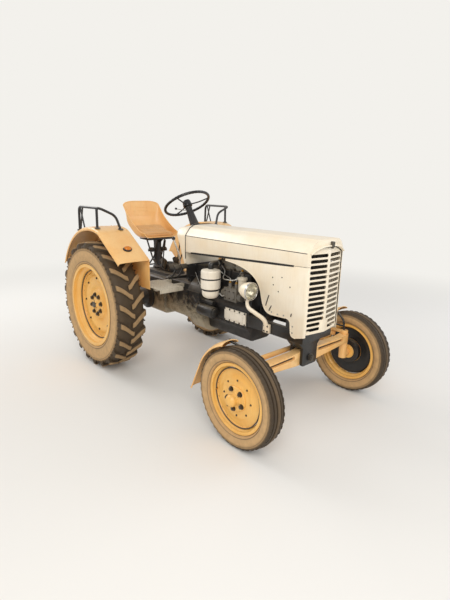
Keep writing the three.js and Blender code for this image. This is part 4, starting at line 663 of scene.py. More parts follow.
def makeScrewTree():
    # a washer, a head with so many sides and a stud's end on every point, standing along its facing
    tree, given = newTree("screws", (("Radius", "Float"), ("Height", "Float"), ("Sides", "Int")))

    def times(source, factor):
        return addNode(tree, "ShaderNodeMath", {0: source, 1: factor}, operation="MULTIPLY")

    whole = addNode(tree, "GeometryNodeJoinGeometry")
    for sides, radius, height, base in ((given["Sides"], 1.0, 1.0, 0.6), (16, 1.35, 0.22, 0.11),
                                        (10, 0.5, 1.35, 0.7)):
        cylinder = addNode(tree, "GeometryNodeMeshCylinder", {
            "Vertices": sides, "Radius": times(given["Radius"], radius), "Depth": times(given["Height"], height)})
        lift = addNode(tree, "ShaderNodeCombineXYZ", {"Z": times(given["Height"], base)})
        part = addNode(tree, "GeometryNodeTransform", {"Geometry": cylinder, "Translation": lift})
        tree.links.new(part.outputs[0], whole.inputs[0])
    facing = addNode(tree, "GeometryNodeInputNamedAttribute", {"Name": "facing"}, data_type="FLOAT_VECTOR")
    turn = addNode(tree, "FunctionNodeAlignRotationToVector", {"Vector": facing}, axis="Z")
    copies = addNode(tree, "GeometryNodeInstanceOnPoints", {"Points": given["Seed"], "Instance": whole,
                                                            "Rotation": turn})
    return endTree(tree, given, copies)


trees = {"round": makeRoundTree(), "row": makeRowTree(), "screws": makeScrewTree()}


def grow(name, shape, tree, sizes, material, smoothAngle=35.0, body="chassis"):
    seed = addObject(name, shape if isinstance(shape, bpy.types.Mesh) else meshFrom(name, shape))
    maker = seed.modifiers.new("maker", "NODES")
    maker.node_group = trees[tree]
    for socket in trees[tree].interface.items_tree:
        if socket.in_out == "INPUT" and socket.name in sizes:
            maker[socket.identifier] = sizes[socket.name]
        elif socket.name == "Finish":
            maker[socket.identifier] = look[material]
    applyModifiers(seed)
    mesh = seed.data
    bpy.data.objects.remove(seed)
    for attribute in [a for a in mesh.attributes if a.name in ("facing", "UVMap", "uv_map")]:
        mesh.attributes.remove(attribute)
    return finishMesh(name, mesh, material, smoothAngle, body=body)


def screws(name, places, radius, height, material="darkSteel", sides=6, body="chassis"):
    # places of (point, facing)
    mesh = bpy.data.meshes.new(name)
    mesh.from_pydata([tuple(point) for point, facing in places], [], [])
    facings = mesh.attributes.new("facing", "FLOAT_VECTOR", "POINT")
    for item, (point, facing) in zip(facings.data, places):
        item.vector = Vector(facing).normalized()
    return grow(name, mesh, "screws", dict(Radius=radius, Height=height, Sides=sides), material, body=body)


def ringOf(centre, axis, radius, count, start=0.0):
    # points evenly round an axis, all facing along it
    place = axisFrame(axis, centre)
    turns = [start + 2 * math.pi * i / count for i in range(count)]
    return [(place @ Vector((radius * math.cos(turn), radius * math.sin(turn), 0)), axis) for turn in turns]


print("node trees made:", len(trees))

# rear wheels, sizes in mm

rearWheel = dict(
    flange=410, seat=385, well=346, lip=8, half=127, disc=30, hub=66, hubFace=134, nose=56, hubEnd=-87,
    tyreHalf=142, tip=626, lugs=22, lugWidth=44, lugSweep=118, draft=6,
    nuts=8, nutCircle=97, nutRadius=18, discBolts=8, discCircle=262, capScrews=6, capCircle=41, weld=6.2,
    buttress=(137.5, 548, 578), buttressPerLug=3,
)


def tyreHalfProfile(p):
    # radius and half width from the bead over the wall to the middle of the tread
    return [(p["seat"] + 1, 126), (p["flange"] + 1, 126.4), (p["flange"] + 4, 131), (422, 136), (429, 139.5),
            (434, 138.6), (438, 137), (452, 139.6), (474, 141.6), (505, 142), (532, 140.4), (548, 138), (552, 139.6),
            (556, 138.6), (562, 134), (575, 127), (587, 113), (593, 99), (595.5, 80), (596.4, 40), (596.6, 0)]


def lugInto(shape, side, phase, p):
    # a bar from just past the tread's middle out over the shoulder, leaning back as it goes
    wall = sorted((x, r) for r, x in tyreHalfProfile(p)[8:])
    rings = []
    for share, drop, swell in (
            (-0.07, 3, 0.9), (-0.05, 0, 0.95), (0.12, 0, 1), (0.35, 0, 1), (0.58, 0.4, 1.03), (0.76, 1.5, 1.08),
            (0.87, 5, 1.12), (0.925, 14, 1.12), (0.962, 34, 1.1), (0.985, 62, 1.02), (0.99, 88, 0.8)):
        x, top = share * p["tyreHalf"], p["tip"] - drop
        root = min(np.interp(abs(x), [w[0] for w in wall], [w[1] for w in wall]) - 7, top - 5)
        half = p["lugWidth"] / 2 * swell
        foot, edge = half + p["draft"], 3.5
        section = ((-foot, root), (-half, top - edge), (-half + edge, top), (half - edge, top), (half, top - edge),
                   (foot, root))
        bend = -abs(share) * p["lugSweep"] - 14 * math.sin(math.pi * min(max(share, 0), 1))
        turned = [((across + bend) / p["tip"] + phase, r) for across, r in section]
        rings.append([Vector((side * x, r * math.sin(a), -r * math.cos(a))) / 1000 for a, r in turned])
    loft(shape, rings)


def makeWeld(name, radius, along, thick, outward, centre, body):
    # the weld that holds a disc in its barrel, in dark steel that also paints the shade line along the joint
    place = axisFrame(outward, centre)
    path = [place @ (Vector((radius * math.cos(a), radius * math.sin(a), along)) / 1000)
            for a in (i * math.pi / 48 for i in range(96))]
    finishMesh(name, sweepLoop(bmesh.new(), path, thick / 1000, 8, True), "darkSteel", 60, body=body)


def makeValve(name, points, radius, capRadius, bend, outward, centre, body):
    stem = axisFrame(outward, centre)
    points = [stem @ Vector(point) for point in points]
    tubes(name, [(points, radius, bend), (points[-2:], capRadius, 0)], "brass", 10, body)


def makeRearWheel(name, side, p):
    body, centre, outward = "rear_wheel_" + name, middle("rear_tyre_" + name), (side, 0, 0)
    seat, flange, well, half, lip, disc, hub, face, end = (p[k] for k in (
        "seat", "flange", "well", "half", "lip", "disc", "hub", "hubFace", "hubEnd"))
    tip = disc + p["nose"]

    def out(x):
        return centre + Vector(outward) * x / 1000

    def turned(label, profile, segments=96, material="amberEnamel", smoothAngle=32):
        return lathe(label + name, mm(profile), outward, centre, material, segments, smoothAngle, body)

    wall = tyreHalfProfile(p)
    carcass = turned("rear_tyre_carcass_", wall + flipped(wall[:-1]) + wall[:1], 96, "rearTyre", 40)
    pitch = 2 * math.pi / p["lugs"]
    seed = bmesh.new()
    lugInto(seed, 1, 0.0, p)
    lugInto(seed, -1, pitch / 2, p)
    grow("rear_tyre_lugs_" + name, seed, "round", dict(Count=p["lugs"], Step=pitch, Centre=centre), "rearTyre", 38,
         body)
    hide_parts("rear_tyre_" + name)
    # the wall's short buttress ribs between the lugs
    ribs = bmesh.new()
    x, low, high = (c / 1000 for c in p["buttress"])
    for x in (-x, x):
        slabInto(ribs, (x - 0.004, -0.005, low), (x + 0.0035, 0.005, high), Matrix.Rotation(0.07, 4, "X"))
    many = p["buttressPerLug"]
    sizes = dict(Count=p["lugs"] * many, Step=pitch / many, Centre=centre)
    grow("rear_tyre_buttresses_" + name, ribs, "round", sizes, "rearTyre", body=body)

    outer = [(seat - 7, half + lip, 3), (flange - 1, half + lip, 5), (flange, half, 4), (seat + 1, half - 1, 6),
             (seat - 2, half - 28, 8), (well + 7, half - 46, 14)]
    inner = [(well, half - 50, 14), (seat - 10, half - 28, 8)]
    rim = softened(outer + flipped(outer) + flipped(inner) + inner, 4, 4, closed=True)
    rim = turned("rear_rim_barrel_", rim + rim[:1])
    # the pressed disc is dished: a raised ring, a broad trough and a turned flange welded to the barrel
    turned("rear_disc_", softened([
        (0, disc + 24), (face + 8, disc + 24, 8), (face + 30, disc + 4, 14), (210, disc - 2, 20),
        (244, disc + 14, 12), (278, disc + 14, 12), (300, disc + 2, 12), (well - 6, disc + 4, 10),
        (well + 1, disc + 30, 2), (well - 5, disc + 30, 1), (well - 12, disc - 2, 8), (300, disc - 5, 12),
        (278, disc + 7, 12), (244, disc + 7, 12), (210, disc - 9, 20), (face + 28, disc - 3, 14),
        (face + 6, disc + 16, 8), (0, disc + 16)], 4, 4))
    makeWeld("rear_disc_weld_" + name, well - 5, disc + 29, p["weld"], outward, centre, body)
    nut = softened([(0, 0.012), (0.026, 0.012, 0.003), (0.034, 0.002, 0.003), (0.034, -0.004), (0, -0.004)], 0.002, 3)
    lathe("rear_axle_nut_" + name, nut, outward, out(tip - 2), "darkSteel", 6, 20, body)
    turned("rear_hub_", softened([
        (0, tip), (38, tip - 2, 8), (46, tip - 16, 6), (hub + 2, disc + 36, 6), (hub + 6, disc + 30, 3),
        (face - 6, disc + 29, 3), (face, disc + 25, 2), (face, disc + 8, 2), (hub, disc + 2, 8), (hub, end + 1, 2),
        (0, end + 1)], 4, 4), 64)
    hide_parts("rear_rim_" + name)
    screws("rear_wheel_nuts_" + name, ringOf(out(disc + 29), outward, p["nutCircle"] / 1000, p["nuts"], 0.2),
           p["nutRadius"] / 1000, 0.017, body=body)
    screws("rear_disc_bolts_" + name, ringOf(out(disc + 13.5), outward, p["discCircle"] / 1000, p["discBolts"]),
           0.009, 0.008, body=body)
    screws("rear_hub_cap_screws_" + name, ringOf(out(tip - 2.5), outward, p["capCircle"] / 1000, p["capScrews"]),
           0.0035, 0.004, body=body)
    base = (well - 1) / 1000
    makeValve("rear_valve_" + name, [(base, 0, 0.092), (base - 0.014, 0, 0.094), (base - 0.03, 0, 0.108),
                                     (base - 0.036, 0, 0.124)], 0.0042, 0.0056, 0.01, outward, centre, body)


for name, side in sides:
    makeRearWheel(name, side, rearWheel)
print("rear wheels made")

# front wheels, sizes in mm

frontWheel = dict(
    flange=258, seat=241, half=43, lip=6, disc=22, dish=182, hub=60, hubFace=92, hubEnd=-48, drum=104, cap=44,
    capLength=66, bore=22.6, rib=366, blocks=44, nuts=5, nutCircle=74, nutRadius=15, rivets=8, rivetCircle=132,
    weld=4.6,
)


def makeFrontWheel(name, side, p):
    body, centre, outward = "front_wheel_" + name, middle("front_tyre_" + name), (side, 0, 0)
    seat, flange, half, lip, disc, dish, hub, face, end, drum, cap, bore = (p[k] for k in (
        "seat", "flange", "half", "lip", "disc", "dish", "hub", "hubFace", "hubEnd", "drum", "cap", "bore"))

    def out(x):
        return centre + Vector(outward) * x / 1000

    def turned(label, profile, segments=96, material="amberEnamel"):
        return lathe(label + name, mm(profile), outward, centre, material, segments, 32, body)

    # crowned tread with three ribs and grooves, walls with a moulded ring
    wall = [(seat + 1, 42.4), (flange + 0.8, 42.6), (262, 50), (268, 60.5), (273, 63.5), (277, 62.8), (292, 69),
            (310, 72.6), (326, 72), (333, 70.6), (336, 71.8), (339, 70), (345, 66), (351, 62.5), (355.5, 58),
            (357, 50), (350.5, 47.5), (350.5, 42.5), (359.5, 40), (361.5, 30), (361, 22.5), (353.5, 20.5),
            (353.5, 15.5), (364, 13), (p["rib"], 4), (p["rib"], 0)]
    tyre = turned("front_tyre_casing_", wall + flipped(wall[:-1]) + wall[:1], material="frontTyre")
    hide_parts("front_tyre_" + name)
    # shoulder blocks stand out of the tread's outer rib and run down on the wall
    seed = bmesh.new()
    for flank in (-1, 1):
        rings = []
        for x, top, wide in ((51, 359.5, 13), (58, 359, 13), (65, 352, 12), (69.5, 343, 10), (71.8, 334, 7)):
            section = ((-wide - 1.5, top - 8), (-wide, top - 1), (-wide + 2, top), (wide - 2, top), (wide, top - 1),
                       (wide + 1.5, top - 8))
            rings.append([Vector((flank * x / 1000, r * math.sin(a / 360) / 1000, -r * math.cos(a / 360) / 1000))
                          for a, r in section])
        loft(seed, rings)
    grow("front_tyre_blocks_" + name, seed, "round",
         dict(Count=p["blocks"], Step=2 * math.pi / p["blocks"], Centre=centre), "frontTyre", body=body)

    outer = [(seat - 6, half + lip, 2), (flange - 1, half + lip, 4), (flange, half, 3), (seat + 0.8, half - 1, 5),
             (seat - 3, half - 14, 5), (seat - 18, half - 24, 8)]
    inner = [(seat - 23, half - 26, 8), (seat - 8, half - 12, 5)]
    rim = softened(outer + flipped(outer) + flipped(inner) + inner, 3, 4, closed=True)
    rim = turned("front_rim_barrel_", rim + rim[:1])
    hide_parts("front_rim_" + name)
    inside = seat - 22
    plate = softened([
        (hub - 6, disc + 10, 2), (face + 4, disc + 10, 8), (face + 20, disc + 2, 10), (dish - 36, disc + 4, 12),
        (dish - 16, disc - 6, 12), (inside - 10, disc - 10, 8), (inside + 1, disc + 4, 2), (inside - 4, disc + 4, 1),
        (inside - 14, disc - 15, 8), (dish - 18, disc - 11, 12), (dish - 38, disc - 1, 12), (face + 18, disc - 3, 10),
        (hub - 6, disc + 4, 2)], 3, 4, closed=True)
    turned("front_disc_", plate + plate[:1])
    makeWeld("front_disc_weld_" + name, inside - 4, disc + 3.5, p["weld"], outward, centre, body)
    # a black sheet on the disc's hidden side paints the shade inside the wheel
    turned("front_disc_back_shade_", [
        (drum + 4, disc - 6), (drum + 4, disc - 8), (dish - 38, disc - 5), (dish - 16, disc - 15),
        (inside - 14, disc - 19), (inside - 3, disc - 8), (inside - 3, disc - 4), (inside - 14, disc - 14),
        (dish - 18, disc - 10), (dish - 38, disc - 1), (drum + 4, disc - 6)], 96, "blackEnamel")
    turned("front_drum_", [
        (drum + 1, disc - 8), (drum + 1, end + 18), (drum - 4, end + 15), (hub + 1, end + 14), (hub + 1, end + 22),
        (drum - 6, end + 24), (drum - 6, disc - 8), (drum + 1, disc - 8)], 64, "blackEnamel")
    capEnd = disc + p["capLength"]
    turned("front_hub_", softened([
        (bore + 1, end + 1, 1), (hub, end + 1, 3), (hub, end + 14, 4), (drum, end + 18, 6), (drum, disc - 6, 3),
        (face, disc - 2, 3), (face, disc + 16, 3), (face - 6, disc + 24, 3), (54, disc + 27, 6),
        (cap + 4, disc + 34, 3), (cap + 4, disc + 40, 2), (cap, disc + 41, 2), (cap, capEnd + 2, 5),
        (cap - 12, capEnd + 20, 8), (0, capEnd + 24)], 3, 4) + [(0, 72), (bore + 1, 72), (bore + 1, end + 1)], 64)
    screws("front_wheel_nuts_" + name, ringOf(out(disc + 24), outward, p["nutCircle"] / 1000, p["nuts"], 0.5),
           p["nutRadius"] / 1000, 0.015, body=body)
    screws("front_disc_rivets_" + name, ringOf(out(disc + 3), outward, p["rivetCircle"] / 1000, p["rivets"]),
           0.006, 0.004, sides=12, body=body)
    base = (seat - 23) / 1000
    makeValve("front_valve_" + name, [(0, base, 0.016), (0, base - 0.01, 0.02), (0, base - 0.02, 0.034),
                                      (0, base - 0.024, 0.05)], 0.0038, 0.005, 0.008, outward, centre, body)


for name, side in sides:
    makeFrontWheel(name, side, frontWheel)
print("front wheels made")

# sheet body, sizes in mm: y runs back from the rear axle, z up from the floor

hood = dict(
    halfWidth=212, rear=-705, edge=-2118, prow=34, base=600, crown=1442, crease=1341, shoulderShare=0.72,
    shoulderDrop=22, noseRound=105, sheet=3, lineRear=1186, lineRise=60, seam=1.5, grilleHalf=196, grilleTop=1382,
    grilleArch=52, grilleBottom=770,
)
far = 4000  # mm, beyond the whole tractor


def prismMesh(outline, axis, low, high):
    # outline of (u, v) in mm, the other two axes in x, y, z order, carried along an axis
    place = {"x": lambda u, v, w: at(w, u, v), "y": lambda u, v, w: at(u, w, v), "z": at}[axis]
    return meshFrom("prism", loft(bmesh.new(), [[place(u, v, w) for u, v in outline] for w in (low, high)]))


def carve(mesh, *steps):
    # steps of (INTERSECT or DIFFERENCE, mesh)
    for operation, tool in steps:
        cutter = addObject("cutter", tool)
        mesh = modified(mesh, "BOOLEAN", operation=operation, object=cutter, solver="EXACT")
        bpy.data.objects.remove(cutter)
    return mesh


def sheetPiece(name, mesh, material, edge=0.0008, smoothAngle=30.0, replaced=()):
    # a finished pressing: flat faces merged, edges softened by a hair so that they catch light
    piece = finishMesh(name, rounded(merged(mesh, 2e-5, 0.4), edge, 32), material, smoothAngle)
    for nodeName in replaced:
        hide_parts(nodeName)
    return piece


def lineAt(y):
    return hood["lineRear"] + hood["lineRise"] * (y - hood["rear"]) / (hood["edge"] - hood["rear"])


def hoodSection(margin, p):
    w, drop, shoulder = p["halfWidth"] - margin, p["shoulderDrop"], p["crown"] - margin - p["shoulderDrop"]
    reach = p["shoulderShare"] * w
    flank = softened([(w, p["base"]), (w, p["crease"], 9), (reach, shoulder, 46), (reach - 60, shoulder + 15)], 9, 8)
    top = [(reach * math.cos(math.pi * t / 24), shoulder + drop * (1 - (2 * t / 24 - 1) ** 2)) for t in range(5, 20)]
    flank = [q for q in flank if q[0] > top[0][0] + 4]
    return flank + top + [(-u, v) for u, v in reversed(flank)]


def hoodMesh(margin, p):
    w, front, rear, top = p["halfWidth"] - margin, p["edge"] + margin, p["rear"] + 2 * margin, p["crown"] - margin + 5
    plan = softened([(-w, rear), (-w, front, 20), (0, front - p["prow"], 12), (w, front, 20), (w, rear)], 30, 8)
    ahead = front - p["prow"] - 20
    elevation = softened([(rear, p["base"]), (rear, top), (ahead, top, p["noseRound"]), (ahead, p["base"])], 90, 14)
    return carve(prismMesh(hoodSection(margin, p), "y", -far, 0), ("INTERSECT", prismMesh(plan, "z", 0, far)),
                 ("INTERSECT", prismMesh(elevation, "x", -far, far)))


def bezier(start, first, second, end, steps=14):
    return [tuple(start[k] * (1 - t) ** 3 + 3 * first[k] * t * (1 - t) ** 2 + 3 * second[k] * t * t * (1 - t)
                  + end[k] * t ** 3 for k in (0, 1)) for t in (i / steps for i in range(1, steps + 1))]


def sideOutline():
    # the side sheet sweeps down from the panel line in an S, runs forward over the frame and drops to the nose
    rear, toe, heel, apron, nose = -1262, -1950, -1992, 832, 704
    line = lineAt(rear)
    return ([(rear, line + 20), (rear, line - 26)]
            + bezier((rear, line - 26), (-1500, line - 38), (-1640, apron + 278), (-1676, apron + 158))
            + bezier((-1676, apron + 158), (-1700, apron + 68), (-1712, apron), (-1800, apron)) + [(toe, apron + 6)]
            + bezier((toe, apron + 6), (toe - 20, apron + 3), (toe - 35, apron - 6), (toe - 36, apron - 42), 6)
            + [(heel, nose + 34)]
            + bezier((heel, nose + 34), (heel - 3, nose + 10), (heel - 18, nose), (heel - 48, nose), 6)
            + [(-2202, nose + 44), (-2202, lineAt(-2202) + 20)])


def grilleArch(margin, steps=20):
    # (x, z) over the top of the grille from the right-hand shoulder to the left-hand one
    w, top = hood["grilleHalf"] - margin, hood["grilleTop"] - margin
    shares = [2 * t / steps - 1 for t in range(steps + 1)]
    return [(w * share, top - hood["grilleArch"] * abs(share) ** 2.6) for share in shares]


def archedPrism(margin, bottom):
    arch = grilleArch(margin)
    return prismMesh([(arch[0][0], bottom)] + arch + [(arch[-1][0], bottom)], "y", -far, hood["edge"] + 20)


def beyondLine(offset, end):
    # all that is above or below the panel line
    return prismMesh([(0, lineAt(0) + offset), (-far, lineAt(-far) + offset), (-far, end), (0, end)], "x", -far, far)


def makeHood(p):
    half, high, w = p["grilleHalf"], p["grilleTop"] - p["grilleArch"], p["halfWidth"]
    lower = prismMesh([(-half, 0), (half, 0), (half, high), (-half, high)], "y", -far, p["edge"] + 20)
    shell, inner = hoodMesh(0, p), hoodMesh(p["sheet"], p)
    top = carve(shell.copy(), ("DIFFERENCE", inner.copy()), ("DIFFERENCE", archedPrism(0, p["grilleBottom"])),
                ("INTERSECT", beyondLine(p["seam"], far)))
    sheetPiece("hood_skin", top, "creamEnamel", smoothAngle=26, replaced=["hood_top"])
    for name, side in sides:
        panel = carve(shell.copy(), ("DIFFERENCE", inner.copy()), ("DIFFERENCE", lower.copy()),
                      ("INTERSECT", beyondLine(-p["seam"], 0)),
                      ("INTERSECT", prismMesh(sideOutline(), "x", 40 * side, far * side)))
        sheetPiece("hood_side_skin_" + name, panel, "creamEnamel", smoothAngle=26, replaced=["hood_side_" + name])
        # the side sheet's free edge is rolled over a wire
        edge = [at(side * (w - 3), y, z) for y, z in sideOutline()[1:-2] if y > -2085]
        finishMesh("hood_side_wired_edge_" + name, sweepLoop(bmesh.new(), edge, 0.0042, 8), "creamEnamel")
        # dark rubber strip along the panel line, tucked under the hood's edge: painted shadow of the panel gap
        rings = [[at(side * x, y, lineAt(y) - 1 + dz) for x, dz in
                  ((209, -deep), (213.6, -deep + 2), (214.4, 0), (213.6, deep - 2), (209, deep))]
                 for y, deep in ((-790, 9), (-1300, 10), (-1800, 10), (-1988, 8))]
        finishMesh("hood_line_shadow_strip_" + name, loft(bmesh.new(), rings), "rubber")
        screws("hood_side_screws_%s_0" % name, [(at(side * w, y, z), (side, 0, 0)) for y, z in (
            (-1860, 850), (-1920, 854), (-1800, 854), (-2010, 790), (-2010, 740))], 0.005, 0.003, "steel", 14)


def makeTrim(p):
    # the top sheet laps the flanks along the crease: a dark rubber line a few millimetres wide paints the lap's shade
    creaseShadeAndWelt, hooks, w = bmesh.new(), [], p["halfWidth"]
    for side in (-1, 1):
        sweepLoop(creaseShadeAndWelt, [at(side * 209.9, y, p["crease"] - 1) for y in (-712, -1100, -1600, -2098)], 0.0029, 8)
        # sprung hooks on the side sheets
        for (y0, z0), (y1, z1) in (((-1766, 982), (-1738, 893)), ((-1795, 904), (-1774, 860)),
                                   ((-1994, 884), (-1989, 862))):
            hooks.append(([at(side * x, y0 + (y1 - y0) * t, z0 + (z1 - z0) * t) for x, t in
                           ((w - 1, 0), (w + 2.5, 0.12), (w + 2.5, 0.88), (w - 1, 1))], 0.0038, 0.006))
    # a welt lies between the hood's rear edge and the cowl
    y, foot = p["rear"] - 1.5, lineAt(p["rear"]) - 60
    edge = [at(u, y, v) for u, v in hoodSection(0.8, p) if v > foot - 10]
    edge = [at(edge[0].x * 1000, y, foot)] + edge + [at(edge[-1].x * 1000, y, foot)]
    finishMesh("hood_crease_shade_and_welt", sweepLoop(creaseShadeAndWelt, edge, 0.0042, 8), "rubber")
    for name, side in sides:
        screws("hood_side_plugs_" + name, [(at(side * (w - 0.5), y, z), (side, 0, 0)) for y, z in (
            (-1795, 1126), (-1885, 1140), (-1805, 1071), (-1965, 1080), (-1857, 1027))], 0.0052, 0.0014, "rubber", 12)
    tubes("hood_side_hooks", hooks, "blackEnamel", 8)


makeHood(hood)
makeTrim(hood)
print("hood and side sheets made")

# grille, sizes in mm

grille = dict(
    half=195.7, edge=-2110, prow=31.4, bottom=740, sheet=2.5, rows=15, shortRows=2, firstSlot=762, pitch=39,
    slotHeight=24, slotNear=14, slotFar=181, shortNear=50, lipDepth=13, barHeight=1183, barRise=10, barHalf=7.5,
)


def makeGrille(p):
    half, edge, sheet, high, rise, barHalf = (p[k] for k in ("half", "edge", "sheet", "slotHeight", "barRise",
                                                             "barHalf"))

    def faceY(x):
        return edge - p["prow"] + abs(x) * (p["prow"] / half)

    vee = softened([(-half, faceY(half)), (0, faceY(0), 12), (half, faceY(half))], 12, 6)
    vee += [(u, v + sheet) for u, v in reversed(vee)]
    rows = [("chin", 0, p["shortRows"], p["shortNear"]),
            ("face", p["shortRows"], p["rows"] - p["shortRows"], p["slotNear"])]
    steps, lipRows = [("INTERSECT", archedPrism(0.4, p["bottom"] - 10))], []
    for label, first, count, near in rows:
        z = p["firstSlot"] + first * p["pitch"]
        punch, lips = bmesh.new(), bmesh.new()
        for side in (-1, 1):
            u0, u1 = side * near, side * p["slotFar"]
            corners = ((u0, z), (u1, z), (u1, z + high), (u0, z + high))
            slot = softened([(*corner, high / 2) for corner in corners], 9, 6, closed=True)
            extrudeOutline(punch, slot, (-0.08, 0.08), upright(edge - 15))
            # each slot's top edge is turned in and down behind the sheet
            loft(lips, [[at(side * x, faceY(x) + sheet + dy, z + high + dz) for dy, dz in (
                (-0.4, 2), (5, 1), (p["lipDepth"], -7), (p["lipDepth"] - 1, -8.6), (4.5, -1), (-0.4, 0))]
                for x in (near - 2, p["slotFar"] + 3)])
        sizes = dict(Count=count, Step=(0, 0, p["pitch"] / 1000))
        punch = grow("slots", punch, "row", sizes, "creamEnamel")
        steps.append(("DIFFERENCE", punch.data))
        bpy.data.objects.remove(punch)
        lipRows.append((label, lips, sizes))
    sheetPiece("grille_panel", carve(prismMesh(vee, "z", p["bottom"], far), *steps), "creamEnamel", 0.0009, 26,
               ["grille"])
    for label, lips, sizes in lipRows:
        grow("grille_slot_lips_" + label, lips, "row", sizes, "blackEnamel")
    # raised bar across the V, and a dark gap seal round the panel
    section = [(0, -barHalf), (rise * 0.8, -barHalf + 2), (rise, 0), (rise * 0.8, barHalf - 2), (0, barHalf)]
    rings = [[at(x, faceY(x) - out * (0.35 if abs(x) > half - 5 else 1), p["barHeight"] + dz) for out, dz in section]
             for x in (-half + 2, -half + 14, -90, -14, 0, 14, 90, half - 14, half - 2)]
    finishMesh("grille_bar", loft(bmesh.new(), rings), "creamEnamel")
    arch = [at(x, faceY(x) + 1, z) for x, z in grilleArch(1.5)]
    low = [at(side * (half - 1.5), faceY(half) + 1, p["bottom"] + 32) for side in (-1, 1)]
    finishMesh("grille_seal", sweepLoop(bmesh.new(), [low[0]] + arch + [low[1]], 0.0045, 8), "rubber")
    posts = [(at(x, faceY(half) + 1, p["bottom"]), at(x + 8, faceY(half) + 22, 1326)) for x in (-half, half - 8)]
    feet = [(at(x, -2118, 752.5), at(x + 28, -2066, 766)) for x in (-176, 148)]
    slabs("grille_posts", posts + feet, 0.002, "creamEnamel")
    screws("grille_screws", [(at(x, faceY(x), z), (0, -1, 0)) for x in (-189, 189) for z in (750, 1183)], 0.0045,
           0.003, "steel", 14)


def makeBrow():
    # a folded strip overhangs the arched top of the grille, with a plain clasp on the ridge
    arch = grilleArch(-3, 28)
    rings = []
    for (x0, z0), (x, z), (x1, z1) in zip(arch[:1] + arch, arch, arch[1:] + arch[-1:]):
        size = math.hypot(x1 - x0, z1 - z0)
        nx, nz = (z0 - z1) / size, (x1 - x0) / size
        y = -2130 - 34 * (1 - abs(x) / 212)
        rings.append([at(x + nx * out, y + dy, z + nz * out) for out, dy in
                      ((0, 16), (0, 3), (1, 0), (4, -1.5), (8, 0), (11, 4), (13, 16))])
    finishMesh("grille_brow", loft(bmesh.new(), rings), "creamEnamel", 40)
    outline = softened([(-17, 1420), (17, 1420), (15, 1384), (0, 1366), (-15, 1384)], 7, 4, closed=True)
    ahead = upright(-2158) @ Matrix.Diagonal((1, 1, -1, 1))
    clasp = extrudeOutline(bmesh.new(), outline, (-0.012, 0.008), ahead)
    bmesh.ops.bevel(clasp, geom=clasp.edges[:], offset=0.0015, segments=2, affect="EDGES", clamp_overlap=True)
    finishMesh("grille_clasp", clasp, "darkSteel")


makeGrille(grille)
makeBrow()
print("grille made")

# rear fenders, sizes in mm

fender = dict(
    inner=528, outer=838, sheet=3, radius=724, centreY=-32, centreZ=672, frontY=-585, frontZ=1128, bendY=-215,
    tailZ=985, bendRound=70, edgeRound=24, lip=24, wire=5, wallBottom=852, crownDrop=5,
)
fenderRail = dict(tube=12, x=806, rearY=238, frontY=-137, rise=176, endX=600, endY=-205)
marker = dict(x=675, upSheet=160, stretch=1.35)


def fenderPath(p):
    # side outline of the outer skin from the front sheet's foot over the crown to the tail
    first = math.acos((p["bendY"] - p["centreY"]) / p["radius"])
    last = math.asin((p["tailZ"] - p["centreZ"]) / p["radius"])
    arc = [(p["centreY"] + p["radius"] * math.cos(a), p["centreZ"] + p["radius"] * math.sin(a))
           for a in [first + (last - first) * i / 40 for i in range(41)]]
    return softened([(p["frontY"], p["frontZ"]), (*arc[0], p["bendRound"]), arc[3]], 0, 8)[:-1] + arc[3:]


def alongPath(path):
    # each point with its outward direction
    rows = []
    for (y0, z0), (y, z), (y1, z1) in zip(path[:1] + path, path, path[1:] + path[-1:]):
        size = math.hypot(y1 - y0, z1 - z0)
        rows.append((y, z, (z0 - z1) / size, (y1 - y0) / size))
    return rows


def skinOver(rows, section, side, centre):
    # an open sheet whose faces turn away from the line it curves round
    shape = bmesh.new()
    sheetInto(shape, [[at(side * x, y + ny * out, z + nz * out) for x, out in section] for y, z, ny, nz in rows])
    return facingOut(shape, centre)


def facingOut(shape, centre):
    shape.normal_update()
    if sum(face.normal.dot(face.calc_center_median() - centre) * face.calc_area() for face in shape.faces) < 0:
        bmesh.ops.reverse_faces(shape, faces=shape.faces)
    return shape


def solidified(name, shape, thickness, material, smoothAngle=35.0, body="chassis"):
    # an open sheet gets its thickness on the inside
    wall = modified(meshFrom(name, shape, turnOut=False), "SOLIDIFY", thickness=thickness / 1000, offset=-1)
    return finishMesh(name, rounded(wall, 0.0008, 50), material, smoothAngle, body=body)


